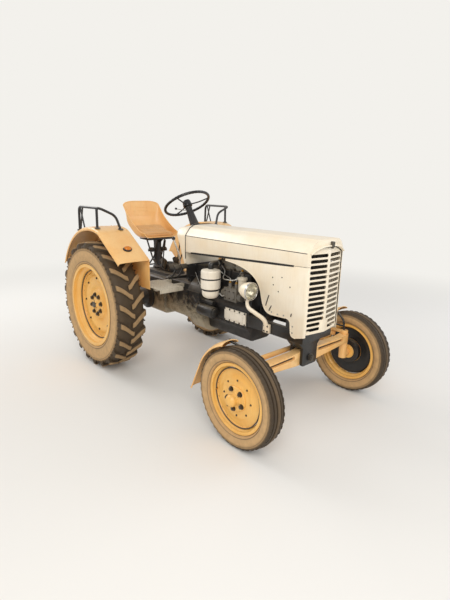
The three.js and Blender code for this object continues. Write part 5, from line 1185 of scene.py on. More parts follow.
def makeFender(name, side, p):
    rows = alongPath(fenderPath(p))
    r, inner, outer, drop = p["edgeRound"], p["inner"], p["outer"], p["crownDrop"]
    section = [(inner, -1)]
    section += [(inner + (outer - inner) * t, -drop * (2 * t - 1) ** 2) for t in (0.15, 0.35, 0.55, 0.75)]
    section += [(outer - r + r * math.sin(a), -drop - r + r * math.cos(a))
                for a in [i * math.pi / 12 for i in range(1, 7)]]
    section += [(outer, -drop - p["lip"] - 3)]
    pressing = skinOver(rows, section, side, at(side * 640, p["centreY"], p["centreZ"]))
    skin = solidified("fender_skin_" + name, pressing, p["sheet"], "orangeEnamel")
    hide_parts("fender_" + name)
    # a wire is rolled into the outer edge
    low = -drop - p["lip"] - 4
    bead = sweepLoop(bmesh.new(), [at(side * (outer - 5), y + ny * low, z + nz * low) for y, z, ny, nz in rows],
                     p["wire"] / 1000, 8)
    for y, z, ny, nz in (rows[0], rows[-1]):
        sweepLoop(bead, [at(side * x, y + ny * (out - 3), z + nz * (out - 3)) for x, out in section], 0.0042, 8)
    finishMesh("fender_wired_edge_" + name, bead, "orangeEnamel")
    # inner wall: under the crown, cut back to the platform in front and to the tail behind
    foot = [(620, p["tailZ"]), (560, p["tailZ"])]
    foot += softened([(560, p["tailZ"]), (330, 798, 70), (90, 762)], 70, 8)[1:] + [(-90, 762)]
    foot += softened([(-90, 762), (-200, p["wallBottom"], 50), (p["frontY"] + 2, p["wallBottom"])], 50, 6)[1:]
    outline = [(y + ny * -2 + rearAxleY * 1000, z + nz * -2) for y, z, ny, nz in rows]
    outline += [(y + rearAxleY * 1000, z) for y, z in foot]
    flank = Matrix(((0, 0, side, side * inner / 1000), (1, 0, 0, 0), (0, 1, 0, 0), (0, 0, 0, 1)))
    wall = meshFrom("wall", extrudeOutline(bmesh.new(), outline, (0, 0.0035), flank))
    sheetPiece("fender_wall_" + name, wall, "orangeEnamel")
    hem = sweepLoop(bmesh.new(), [at(side * (inner + 1), y, z) for y, z in foot], 0.0045, 8)
    finishMesh("fender_wall_hem_" + name, hem, "orangeEnamel")
    # bolted strap and foot on the axle housing
    x0, x1, strap = side * inner, side * (inner + 64), side * (inner - 4)
    slabs("fender_foot_" + name, [(at(min(x0, x1), -70, 758.5), at(max(x0, x1), 70, 765)),
                                  (at(min(x0, strap), -38, 760), at(max(x0, strap), 38, 900))], 0.0015,
          "orangeEnamel")
    screws("fender_foot_bolts_" + name, [(at(x0 + side * 30, y, 765), (0, 0, 1)) for y in (-46, 46)]
           + [(at(strap, y, z), (-side, 0, 0)) for y in (-22, 22) for z in (800, 870)], 0.0085, 0.008)
    screws("fender_rivets_" + name, [(at(side * (inner + 18), y + ny * -1, z + nz * -1), (0, ny, nz))
                                     for y, z, ny, nz in rows[4:-2:5]], 0.0048, 0.0028, "orangeEnamel", 12)


def makeFenderRail(name, side, p, f):
    def crownAt(y):
        return f["centreZ"] + math.sqrt(f["radius"] ** 2 - (y - f["centreY"]) ** 2)

    top = f["centreZ"] + f["radius"] + p["rise"]
    x, rear, front, endX, endY, tube = (p[k] for k in ("x", "rearY", "frontY", "endX", "endY", "tube"))
    tube /= 1000
    # the hoop, its middle leg, and two flat stays that lean across the rear bay
    rail = tubes("fender_rail_tube_" + name, [
        ([at(side * x, rear, crownAt(rear) - 1), at(side * x, rear - 10, top), at(side * (x - 10), front - 60, top),
          at(side * (endX + 40), endY + 15, top - 70), at(side * endX, endY, crownAt(endY) - 2)], tube, 0.05),
        ([at(side * (x - 4), front, crownAt(front) - 1), at(side * (x - 6), front, top)], tube, 0.01),
        ([at(side * x, rear - 24, crownAt(rear - 24)), at(side * x, rear - 92, top - 4)], tube * 0.62, 0.01),
        ([at(side * x, rear - 112, crownAt(rear - 112)), at(side * x, rear - 40, top - 4)], tube * 0.62, 0.01)],
        "blackEnamel", 14)
    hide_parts("fender_rail_" + name)
    feet, bolts = bmesh.new(), []
    for px, y in ((x, rear), (x - 4, front), (endX, endY)):
        lean = (y - f["centreY"]) / f["radius"]
        up = Vector((0, lean, math.sqrt(1 - lean * lean)))
        base = at(side * px, y, crownAt(y))
        spin(feet, [(0, 0), (0.026, 0), (0.027, 0.003), (0.02, 0.0055), (0.014, 0.009), (0, 0.009)],
             axisFrame(up, base), 24)
        bolts += [(base + up * 0.003 + Vector((0.019 * k, 0, 0)), up) for k in (-1, 1)]
    finishMesh("fender_rail_feet_" + name, feet, "blackEnamel")
    screws("fender_rail_bolts_" + name, bolts, 0.0045, 0.004)


def makeMarker(name, side, p, f):
    # oval side lamp on the fender's slanted front sheet
    (y0, z0), (y1, z1) = fenderPath(f)[:2]
    slope = Vector((0, y1 - y0, z1 - z0)).normalized()
    out = Vector((0, -slope.z, slope.y))
    centre = at(side * p["x"], y0 + slope.y * p["upSheet"], z0 + slope.z * p["upSheet"])
    turned = Matrix((Vector((1, 0, 0)), slope, out)).transposed().to_4x4()
    place = Matrix.Translation(centre) @ turned @ Matrix.Diagonal((p["stretch"], 1, 1, 1))
    base = [(0, 0), (0.031, 0), (0.0325, 0.004), (0.03, 0.015), (0.026, 0.017), (0, 0.017)]
    lens = [(0.0255, 0.014), (0.0255, 0.019), (0.021, 0.025), (0.012, 0.029), (0, 0.03), (0, 0.014), (0.0255, 0.014)]
    finishMesh("marker_base_" + name, spin(bmesh.new(), base, place, 40), "blackEnamel")
    finishMesh("marker_lens_" + name, spin(bmesh.new(), lens, place, 40), "amberLens", slot="lamp_glass")


for name, side in sides:
    makeFender(name, side, fender)
    makeFenderRail(name, side, fenderRail, fender)
    makeMarker(name, side, marker, fender)

# front mudguards, sizes in mm

mudguard = dict(radius=404, half=76, crown=18, start=17, bend=66, tail=252, axleY=-1970, axleZ=366, middleX=700,
                sheet=2.5, wire=4.5, stay=9, kingpinX=587, armTop=583, stayAngles=(24, 58), stayEndX=666,
                boltsX=(652, 690))


def makeMudguard(name, side, p):
    body, axleY, axleZ, middleX, arm = "knuckle_" + name, p["axleY"], p["axleZ"], p["middleX"], p["armTop"]
    rows = []
    for i in range(25):
        angle = math.radians(p["start"] + (p["bend"] - p["start"]) * i / 24)
        c, s = math.cos(angle), math.sin(angle)
        rows.append((axleY + p["radius"] * s, axleZ + p["radius"] * c, s, c))
    y, z, s, c = rows[-1]
    for share in (0.1, 0.3, 0.5, 0.7, 0.9, 1.0):
        reach = share * p["tail"]
        rows.append((y + reach * c, z - reach * s, s, c))
    section = [(middleX + p["half"] * t, -p["crown"] * abs(t) ** 2.6) for t in [i / 8 for i in range(-8, 9)]]
    section = [(section[0][0], section[0][1] - 7)] + section + [(section[-1][0], section[-1][1] - 7)]
    pressing = skinOver(rows, section, side, at(side * middleX, axleY, axleZ))
    blade = solidified("front_mudguard_blade_" + name, pressing, p["sheet"], "orangeEnamel", body=body)
    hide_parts("front_mudguard_" + name)
    bead = bmesh.new()
    for (x, out), inward in ((section[0], 2), (section[-1], -2)):
        sweepLoop(bead, [at(side * (x + inward), y + ny * out, z + nz * out) for y, z, ny, nz in rows],
                  p["wire"] / 1000, 8)
    for y, z, ny, nz in (rows[0], rows[-1]):
        sweepLoop(bead, [at(side * x, y + ny * (out - 2), z + nz * (out - 2)) for x, out in section], 0.0036, 8)
    finishMesh("front_mudguard_edge_" + name, bead, "orangeEnamel", body=body)

    def under(degrees, x):
        angle, r = math.radians(degrees), p["radius"] - 5
        return at(side * x, axleY + r * math.sin(angle), axleZ + r * math.cos(angle))

    x, (front, back) = side * p["kingpinX"], (under(degrees, p["stayEndX"]) for degrees in p["stayAngles"])
    elbow = Vector((x / 1000, at(0, axleY + 20, 0).y, front.z - 0.06))
    tubes("front_mudguard_stays_" + name, [
        ([at(x, axleY + 6, arm - 4), elbow, front], p["stay"] / 1000, 0.03),
        ([at(x, axleY + 8, arm + 34), at(x, axleY + 200, arm + 34), back], (p["stay"] - 1) / 1000, 0.04)],
        "blackEnamel", body=body)
    bolts = []
    for degrees in p["stayAngles"]:
        top = Vector((0, math.sin(math.radians(degrees)), math.cos(math.radians(degrees))))
        bolts += [(under(degrees, x) + top * 0.005, top) for x in p["boltsX"]]
    screws("front_mudguard_bolts_" + name, bolts, 0.0065, 0.004, sides=12, body=body)


for name, side in sides:
    makeMudguard(name, side, mudguard)
print("fenders, rails and mudguards made")

# seat tub, sizes in mm

seatTub = dict(
    half=228, floor=[(-8, 1252), (60, 1243), (142, 1243), (262, 1290), (372, 1352), (406, 1430), (412, 1614)],
    # share along the floor line, and the wing's edge there
    wing=[(0, -8, 1294), (0.1, 48, 1300), (0.223, 122, 1338), (0.414, 214, 1396), (0.6, 290, 1452),
          (0.727, 336, 1500), (0.87, 374, 1548), (1, 398, 1576)],
    cornerFront=46, cornerBack=104, cornerWide=136, sheet=3, rim=6.5)


def seatStations(p, count):
    # points along the floor line, each with the direction and the reach up to the wings' edge
    line = softened([(y, z, 70) for y, z in p["floor"]], 70, 10)
    lengths = [0.0]
    for a, b in zip(line, line[1:]):
        lengths.append(lengths[-1] + math.dist(a, b))
    rows = []
    for i in range(count + 1):
        share = i / count
        y, z = (np.interp(lengths[-1] * i / count, lengths, [q[k] for q in line]) for k in (0, 1))
        near = [max(0, share - 0.06), share, min(1, share + 0.06)]
        wingY, wingZ = (sum(np.interp(near, [w[0] for w in p["wing"]], [w[k] for w in p["wing"]])) / 3
                        for k in (1, 2))
        size = math.hypot(wingY - y, wingZ - z)
        rows.append((share, float(y), float(z), float(wingY - y) / size, float(wingZ - z) / size, float(size)))
    return rows


def seatPoint(row, x, inward):
    return at(x, row[1] + row[3] * inward, row[2] + row[4] * inward)


def nearest(rows, share):
    return min(rows, key=lambda row: abs(row[0] - share))


def makeSeat(p):
    rows = seatStations(p, 44)
    points = []
    for row in rows:
        share, depth = row[0], row[5]
        later = min(1, max(0, (share - 0.3) / 0.5))
        wide = p["cornerFront"] + (p["cornerWide"] - p["cornerFront"]) * later
        r = min(p["cornerFront"] + (p["cornerBack"] - p["cornerFront"]) * later, depth - 3)
        half = p["half"] - (16 * (1 - share / 0.12) ** 2 if share < 0.12 else 0)
        flat = half - 2 - wide
        section = [(-half, depth), (-half + 1, (depth + r) / 2), (-half + 2, r)]
        section += [(-half + 2 + wide * (1 - math.cos(a)), r * (1 - math.sin(a)))
                    for a in [i * math.pi / 16 for i in range(1, 9)]]
        section += [(-flat * (1 - t / 4), 0.0) for t in range(1, 4)]
        section += [(0.0, 0.0)] + [(-u, v) for u, v in reversed(section)]
        points.append([seatPoint(row, u, v) for u, v in section])
    shape = bmesh.new()
    grid = sheetInto(shape, points)
    facingOut(shape, at(0, 180, 1460))
    loop = [ring[0].co.copy() for ring in grid] + [v.co.copy() for v in grid[-1][1:-1]]
    loop += [ring[-1].co.copy() for ring in reversed(grid)] + [v.co.copy() for v in reversed(grid[0][1:-1])]
    tub = solidified("seat_tub", shape, p["sheet"], "orangeEnamel", 45)
    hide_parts("seat")
    smooth = [point * 0.5 + (loop[i - 1] + loop[(i + 1) % len(loop)]) * 0.25 for i, point in enumerate(loop)]
    finishMesh("seat_rim", sweepLoop(bmesh.new(), smooth, p["rim"] / 1000, 10, True), "orangeEnamel", 60)
    # beads pressed across the back
    beads = bmesh.new()
    for share in (0.78, 0.85, 0.92):
        sweepLoop(beads, [seatPoint(nearest(rows, share), x, 1.5) for x in range(-110, 111, 20)], 0.004, 8)
    finishMesh("seat_back_beads", beads, "orangeEnamel", 60)
    return rows


# the pad lies on the tub's floor

seatPad = dict(half=182, first=0.035, last=0.5, base=10, thickness=40, voxel=5, swell=9, pressure=4.0,
               channels=(0.14, 0.24, 0.34, 0.43), channelDepth=4.5, channelHalf=5.5, welt=3.6)


def makePad(p, rows):
    picked = [row for row in rows if p["first"] <= row[0] <= p["last"]]
    base, top = p["base"], p["base"] + p["thickness"]
    rings, edge = [], []
    for i, row in enumerate(picked):
        t = i / (len(picked) - 1)
        ends = min(t, 1 - t)
        half = p["half"] - 26 * max(0, 1 - ends / 0.09) ** 2
        high = top - 10 * max(0, 1 - ends / 0.06) ** 2 + 6 * t
        section = softened([(-half, base, 12), (half, base, 12), (half, high, 16), (-half, high, 16)], 12, 3,
                           closed=True)
        rings.append([seatPoint(row, u, v) for u, v in section])
        edge.append((row, half))
    stuffing = modified(meshFrom("pad", loft(bmesh.new(), rings)), "REMESH", mode="VOXEL",
                        voxel_size=p["voxel"] / 1000)
    pad = addObject("seat_pad", stuffing)
    before = [vert.co.copy() for vert in stuffing.vertices]
    cloth = pad.modifiers.new("cloth", "CLOTH")
    cloth.settings.use_pressure = True
    cloth.settings.uniform_pressure_force = p["pressure"]
    cloth.settings.effector_weights.gravity = 0
    cloth.point_cache.frame_start, cloth.point_cache.frame_end = 1, 20
    for frameNumber in range(1, 21):
        scene.frame_set(frameNumber)
    applyModifiers(pad)
    scene.frame_set(1)
    floorLimit = [seatPoint(row, 0, base - 5) for row in picked]
    for vert, start in zip(pad.data.vertices, before):
        shift = vert.co - start
        if shift.length > p["swell"] / 1000:
            vert.co = start + shift.normalized() * p["swell"] / 1000
        near = min(range(len(floorLimit)), key=lambda i: abs(floorLimit[i].y - vert.co.y)
                   + abs(floorLimit[i].z - vert.co.z))
        normal = Vector((0, picked[near][3], picked[near][4]))
        below = (floorLimit[near] - vert.co).dot(normal)
        if below > 0:
            vert.co += normal * below
    pad.data = modified(pad.data, "SUBSURF", levels=1, render_levels=1)
    # sewn channels run across the pad
    for share in p["channels"]:
        row = nearest(rows, share)
        line, normal, along = at(0, row[1], row[2]), Vector((0, row[3], row[4])), Vector((0, row[4], -row[3]))
        for vert in pad.data.vertices:
            offset = vert.co - line
            height, run = offset.dot(normal) * 1000, offset.dot(along) * 1000
            if height > base + 18 and abs(run) < 3 * p["channelHalf"] and abs(vert.co.x) * 1000 < p["half"] - 16:
                vert.co -= normal * (p["channelDepth"] / 1000 * math.exp(-(run / p["channelHalf"]) ** 2))
    loop = [seatPoint(row, half, top) for row, half in edge]
    loop += [seatPoint(edge[-1][0], edge[-1][1] * (1 - k / 6), top) for k in range(1, 12)]
    loop += [seatPoint(row, -half, top) for row, half in reversed(edge)]
    loop += [seatPoint(edge[0][0], -edge[0][1] * (1 - k / 6), top) for k in range(1, 12)]
    onPad = [pad.closest_point_on_mesh(point)[1] for point in loop]
    mesh = pad.data
    bpy.data.objects.remove(pad)
    cushion = finishMesh("seat_pad", mesh, "leathercloth", 180)
    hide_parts("seat_cushion")
    for _ in range(2):
        onPad = [(point * 2 + onPad[i - 1] + onPad[(i + 1) % len(onPad)]) / 4 for i, point in enumerate(onPad)]
    finishMesh("seat_pad_welt", sweepLoop(bmesh.new(), onPad, p["welt"] / 1000, 8, True), "leathercloth", 60)


makePad(seatPad, makeSeat(seatTub))
print("seat made")

# steering wheel and column, sizes in mm

steering = dict(
    radius=224, section=13.4, grips=40, gripDepth=0.6, spokes=3, spoke=6.5, boss=46, half=32, tilt=32,
    hub=(0, -455, 1618), columnTop=34, columnFoot=50, columnLength=300)


def makeSteering(p):
    tilt = math.radians(p["tilt"])
    axis = Vector((0, math.sin(tilt), math.cos(tilt)))
    hub = at(*p["hub"])
    place = axisFrame(axis, hub)
    ring, radii = [], []
    for i in range(240):
        angle = 2 * math.pi * i / 240
        ring.append(place @ Vector((p["radius"] / 1000 * math.cos(angle), p["radius"] / 1000 * math.sin(angle), 0)))
        radii.append((p["section"] + p["gripDepth"] * math.cos(p["grips"] * angle)) / 1000)
    rim = finishMesh("steering_wheel_rim", sweepLoop(bmesh.new(), ring, radii, 14, closed=True), "bakelite", 60,
                     body="steering_wheel")
    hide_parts("steering_wheel")
    spokes = []
    up = place.inverted().to_3x3() @ Vector((0, 0, 1))
    start = math.atan2(up.y, up.x)
    for k in range(p["spokes"]):
        angle = start + math.pi + 2 * math.pi * k / p["spokes"]
        outward = Vector((math.cos(angle), math.sin(angle), 0))
        way = [outward * 0.03 + Vector((0, 0, -0.012)), outward * 0.11 + Vector((0, 0, -0.014)),
               outward * ((p["radius"] - 6) / 1000)]
        spokes.append(([place @ point for point in way], p["spoke"] / 1000, 0.05))
    tubes("steering_wheel_spokes", spokes, "blackEnamel", body="steering_wheel")
    boss, half = p["boss"], p["half"]
    profile = softened([(0, half + 4), (20, half + 4, 4), (24, half, 2), (boss - 10, half - 1, 4),
                        (boss - 6, half - 14, 4), (boss, -half + 14, 6), (boss - 2, -half, 3), (0, -half)], 3, 4)
    lathe("steering_wheel_hub", mm(profile), axis, hub, "bakelite", 48, body="steering_wheel")
    screws("steering_wheel_hub_screws", ringOf(hub + axis * (half - 1.2) / 1000, axis, 0.031, 3), 0.0032, 0.002,
           "steel", 12, body="steering_wheel")
    # the shroud widens to the dash over a gaiter, all one black-enamelled piece
    top, foot, end = p["columnTop"], p["columnFoot"], -half - p["columnLength"]
    shroud = softened([
        (0, -half - 1.5), (top - 4, -half - 1.5, 2), (top, -half - 6, 2), (top, -half - 26, 1),
        (top - 3, -half - 29, 1), (foot - 6, end + 96, 4), (foot + 6, end + 92, 3), (foot + 8, end + 80, 3),
        (foot, end + 74, 3), (foot + 5, end + 66, 3), (foot + 2, end + 56, 3), (foot + 8, end + 46, 3),
        (foot + 6, end), (0, end)], 2, 4)
    column = lathe("steering_column_shroud", mm(shroud), axis, hub, "blackEnamel", 48)
    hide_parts("steering_column")
    # hand throttle lever and knob beside the column
    root = hub - axis * 0.07
    tubes("throttle_lever", [([root + Vector((-0.03, 0, 0)), root + Vector((-0.075, 0, 0)),
                               root + Vector((-0.13, 0.03, 0.012))], 0.0035, 0.02)], "steel")
    knob = softened([(0, 0), (0.009, 0.001, 0.003), (0.011, 0.012, 0.006), (0.007, 0.021, 0.004), (0, 0.023)],
                    0.003, 4)
    lathe("throttle_knob", knob, (-0.8, 0.5, 0.2), root + Vector((-0.128, 0.029, 0.012)), "bakelite", 24)


makeSteering(steering)

# dash on the cowl's leaning rear face, sizes in mm; gauges and knobs as x, share of the height, radius

dash = dict(footY=-688, footZ=1062, topY=-548, topZ=1394, gauges=[(-92, 0.78, 34), (0, 0.82, 44), (92, 0.78, 34)],
            ticks=11, knobs=[(-130, 0.55), (-60, 0.55), (70, 0.55), (130, 0.55)])


def dashPlace(p, x, share):
    foot, top = at(0, p["footY"], p["footZ"]), at(0, p["topY"], p["topZ"])
    upward = (top - foot).normalized()
    out = Vector((0, upward.z, -upward.y))
    spot = foot + (top - foot) * share + Vector((x / 1000, 0, 0))
    return Matrix.Translation(spot) @ Matrix((Vector((-1, 0, 0)), upward, out)).transposed().to_4x4()


def lettering(shape, text, size, place):
    # plain numbers, turned to mesh
    words = bpy.data.curves.new("numbers", "FONT")
    words.body, words.size, words.align_x, words.align_y, words.resolution_u = text, size, "CENTER", "CENTER", 2
    holder = addObject("numbers", words)
    bpy.context.view_layer.update()
    flat = bpy.data.meshes.new_from_object(holder.evaluated_get(bpy.context.evaluated_depsgraph_get()))
    flat.transform(place)
    shape.from_mesh(flat)
    bpy.data.objects.remove(holder)


def makeDash(p):
    faces, marks, needles, rings, lenses, knobs = (bmesh.new() for _ in range(6))
    for x, share, r in p["gauges"]:
        place = dashPlace(p, x, share)
        size = r / 1000
        spin(faces, [(0, 0.002), (size, 0.002), (size, 0), (0, 0)], place, 48)
        bezel = softened([(size - 0.001, 0.0015), (size - 0.001, 0.008, 0.001), (size + 0.004, 0.009, 0.003),
                          (size + 0.006, 0.004, 0.002), (size + 0.006, 0.0)], 0.001, 3)
        spin(rings, bezel + [(size - 0.001, 0.0), (size - 0.001, 0.0015)], place, 48)
        spin(lenses, [(0, 0.0072), (size - 0.001, 0.0062), (size - 0.001, 0.0054), (0, 0.0064)], place, 48)
        for i in range(p["ticks"]):
            turn = place @ Matrix.Rotation(math.radians(225 - 270 * i / (p["ticks"] - 1)), 4, "Z")
            inner, half = (0.8, 0.0005) if i % 5 else (0.72, 0.0009)
            slabInto(marks, (size * inner, -half, 0.002), (size * 0.9, half, 0.0025), turn)
            if i % 5 == 0:
                local = place.copy()
                local.translation = turn @ Vector((size * 0.55, 0, 0)) + place.to_3x3() @ Vector((0, 0, 0.0023))
                lettering(marks, str(i if r > 40 else i // 5 * 2), size * 0.24, local)
        turn = place @ Matrix.Rotation(math.radians(150 if x else 110), 4, "Z")
        slabInto(needles, (-size * 0.15, -0.0009, 0.0035), (size * 0.78, 0.0009, 0.0042), turn)
        spin(needles, [(0, 0.0058), (0.0035, 0.005), (0.0035, 0.002), (0, 0.002)], place, 20)
    finishMesh("dash_gauge_faces", faces, "dialFace")
    finishMesh("dash_gauge_marks", meshFrom("marks", marks, False), "dialMarks")
    finishMesh("dash_gauge_needles", needles, "amberLens", slot="black_paint")
    finishMesh("dash_gauge_rings", rings, "chrome")
    finishMesh("dash_gauge_lenses", lenses, "glass")
    knob = softened([(0, 0.026), (0.009, 0.025, 0.003), (0.011, 0.018, 0.003), (0.006, 0.012, 0.003), (0.004, 0.001),
                     (0.011, 0.001), (0.011, 0), (0, 0)], 0.001, 3)
    for x, share in p["knobs"]:
        spin(knobs, knob, dashPlace(p, x, share), 24)
    finishMesh("dash_knobs", knobs, "bakelite")
    corners = [dashPlace(p, x, share) for x in (-188, 188) for share in (0.12, 0.5, 0.9)]
    screws("dash_screws", [(place.translation, place.col[2].to_3d()) for place in corners], 0.005, 0.003, "steel", 14)


makeDash(dash)
print("steering and dash made")

# headlamps, sizes in mm along the lamp's axis from its face

headlamp = dict(x=300, y=-1668, z=1003, armRadius=13, armSwell=5, armY=-1618, footX=(180.8, 206),
                lens=63.5, fluteStep=7.5, fluteDepth=0.9)


def fluted(p, place):
    # a domed lens, fluted from top to bottom
    shape = bmesh.new()
    upward = (place.inverted().to_3x3() @ Vector((1, 0, 0))).normalized()

    def ringAt(r, depth, fluteDepth, count=72):
        ring = []
        for k in range(count):
            angle = math.pi * k / 36
            u, v = r * math.cos(angle), r * math.sin(angle)
            flute = fluteDepth * abs(math.sin(math.pi * (u * upward.x + v * upward.y) / p["fluteStep"]))
            ring.append(shape.verts.new(place @ (Vector((u, v, depth - flute)) / 1000)))
        return ring

    rings = []
    for i in range(29):
        r = p["lens"] * i / 28
        fluteDepth = p["fluteDepth"] if r < p["lens"] - 5 else 0
        rings.append(ringAt(r, -1.2 - 5.2 * (r / p["lens"]) ** 2, fluteDepth, 72 if i else 1))
    for k in range(72):
        shape.faces.new([rings[0][0], rings[1][k], rings[1][(k + 1) % 72]])
    rings.append(ringAt(p["lens"], -10, 0))
    for a, b in zip(rings[1:], rings[2:]):
        for k in range(72):
            shape.faces.new([a[k], a[(k + 1) % 72], b[(k + 1) % 72], b[k]])
    shape.faces.new(rings[-1])
    return shape


def makeHeadlamp(name, side, p):
    centre, ahead = at(side * p["x"], p["y"], p["z"]), (0, -1, 0)

    def turned(label, profile, material, segments=56, slot=None):
        shape = spin(bmesh.new(), mm(profile), axisFrame(ahead, centre), segments)
        return finishMesh("headlamp_%s_%s" % (label, name), shape, material, 40, slot)

    shell = turned("shell", softened([
        (0, -118), (16, -117.4, 6), (34, -110, 14), (52, -88, 16), (64, -56, 16), (70.5, -24, 8), (71.4, -14, 2),
        (68.6, -12, 1), (67.8, -24, 8), (61, -55, 16), (49, -86, 14), (32, -107, 12), (0, -115)], 4, 5),
        "creamEnamel")
    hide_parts("headlamp_" + name)
    turned("ring", softened([(64, -12), (71.8, -14, 2), (72, -3, 3), (69, 0, 2), (64.6, -0.6, 1), (63.6, -5, 1),
                             (64, -12)], 1, 4), "chrome")
    turned("reflector", [(0, -74), (16, -72), (30, -65), (43, -53), (53, -38), (60, -22), (63, -10), (62, -10),
                         (59, -22), (52, -37.5), (42, -52), (29.5, -64), (15.5, -71), (0, -73)],
           "mirror", slot="grey_paint")
    turned("bulb", softened([(0, -28), (7, -30, 4), (10, -40, 6), (7, -50, 3), (6, -54), (0, -54)], 3, 4),
           "glass", 24)
    turned("bulb_holder", softened([(0, -52.5), (7.5, -53, 1), (8, -62, 2), (12, -64, 1), (12, -72), (0, -72)], 1, 3),
           "brass", 24)
    lens = finishMesh("headlamp_lens_" + name, fluted(p, axisFrame(ahead, centre)), "glass", 30)
    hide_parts("headlamp_glass_" + name)
    # arm, swivel under the shell, bolted foot on the frame's rail, cable
    x = side * p["x"]
    inner, outer = p["footX"]
    top = at(x, p["armY"], 936)
    path = bendPath([top, at(x, -1624, 868), at(side * 210, -1740, 772), at(side * 196, -1744, 690)], 0.055, 8)
    radii = [(p["armRadius"] + p["armSwell"] * min(1, i / 12)) / 1000 for i in range(len(path))]
    finishMesh("headlamp_arm_" + name, sweepLoop(bmesh.new(), path, radii, 20), "creamEnamel", 60)
    lathe("headlamp_swivel_" + name, [(0, -0.016), (0.019, -0.016), (0.02, -0.012), (0.02, 0.004), (0.027, 0.012),
                                      (0.027, 0.017), (0, 0.017)], (0, 0, 1), top, "creamEnamel", 32)
    x0, x1 = sorted((side * inner, side * outer))
    slabs("headlamp_foot_" + name, [(at(x0, -1774, 668), at(x1, -1712, 740))], 0.004, "creamEnamel")
    bolts = [at(side * outer, y, z) for y in (-1760, -1727) for z in (682, 726)]
    bolts.append(at(side * (p["x"] + 20), p["armY"], 930))
    screws("headlamp_bolts_" + name, [(spot, (side, 0, 0)) for spot in bolts], 0.0062, 0.006)
    tubes("headlamp_cable_" + name, [([at(x, -1556, 990), at(side * 296, -1560, 940), at(side * 262, -1640, 850),
                                       at(side * 222, -1700, 790), at(side * 196, -1706, 758)], 0.0042, 0.03)],
          "rubber", 8)


for name, side in sides:
    makeHeadlamp(name, side, headlamp)
print("headlamps made")

# things hung on the engine, sizes in mm

engine = dict(ribFace=152.3, headTop=1084, coverTop=1150, headFronts=(-1490, -1240), headLength=234,
              pumpX=-193.3, pumpZ=850, outlets=(-1386.5, -1311.5), filterX=-209.3, filterY=-1470,
              cleanerX=-268, cleanerY=-1140, dynamoX=236, injectorX=-117, headBolts=(14, 84, 152, 220),
              coverBolts=(50, 184), pumpFace=-240.2, sideCoverFace=-192.3, sumpFlange=(170, 638), bellFace=244.8,
              bellCover=(-865, 745), portX=146, ports=(60, 165), flangeHalf=34, exhaustHeight=1050, pipe=25.5,
              silencerAt=(330, -680, 560), silencerRadius=56)
upward = (0, 0, 1)


def makeAirCleaner(p):
    x, y = p["cleanerX"], p["cleanerY"]
    foot = at(x, y, 0)
    canister = softened([
        (0, 842.5), (40, 843, 8), (64, 856, 14), (75, 878, 8), (76, 908, 3), (70, 912, 2), (70, 926, 2), (83, 930, 3),
        (86, 938, 3), (86, 1014, 1), (83.5, 1016.5, 1), (86, 1019, 1), (86, 1078, 6), (80, 1091, 5), (30, 1098, 10),
        (0, 1103.5)], 3, 4)
    body = lathe("air_cleaner_canister", mm(canister), upward, foot, "paleEnamel", 72, 30)
    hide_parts("air_cleaner")
    tubes("air_cleaner_elbow", [([at(x, y, 1094), at(x, y, 1140), at(-150, y, 1140)], 0.0238, 0.03)],
          "blackEnamel", 24)
    clamp = softened([(0.0245, -0.008), (0.0258, -0.006, 0.001), (0.0258, 0.006, 0.001), (0.0245, 0.008), (0.0235, 0),
                      (0.0245, -0.008)], 0.001, 2)
    finishMesh("air_cleaner_clamps", spin(bmesh.new(), clamp, axisFrame((1, 0, 0), at(-190, y, 1140)), 32), "steel",
               slot="grey_paint")
    bands = bmesh.new()
    for z, r in ((919, 0.0706), (1016.5, 0.0846)):
        spin(bands, [(r, -0.0066), (r + 0.002, -0.0056), (r + 0.002, 0.0056), (r, 0.0066), (r - 0.001, 0),
                     (r, -0.0066)], axisFrame(upward, at(x, y, z)), 56)
    finishMesh("air_cleaner_bands", bands, "rubber")
    slabs("air_cleaner_bracket", [(at(x + 60, y - 25, 941), at(-p["ribFace"], y + 25, 979)),
                                  (at(-159.5, y - 29, 1023), at(-134.6, y + 29, 1143))], 0.003, "blackEnamel")
    screws("air_cleaner_bolts", [(at(-159, y + dy, z), (-1, 0, 0)) for dy in (-22, 22) for z in (1034, 1088)]
           + [(at(x + 88, y - 26, 960), (0, -1, 0))], 0.006, 0.005)
    lathe("air_cleaner_cap", [(0, 1.103), (0.012, 1.1032), (0.012, 1.1038), (0, 1.104)], upward, foot,
          "darkSteel", 20)


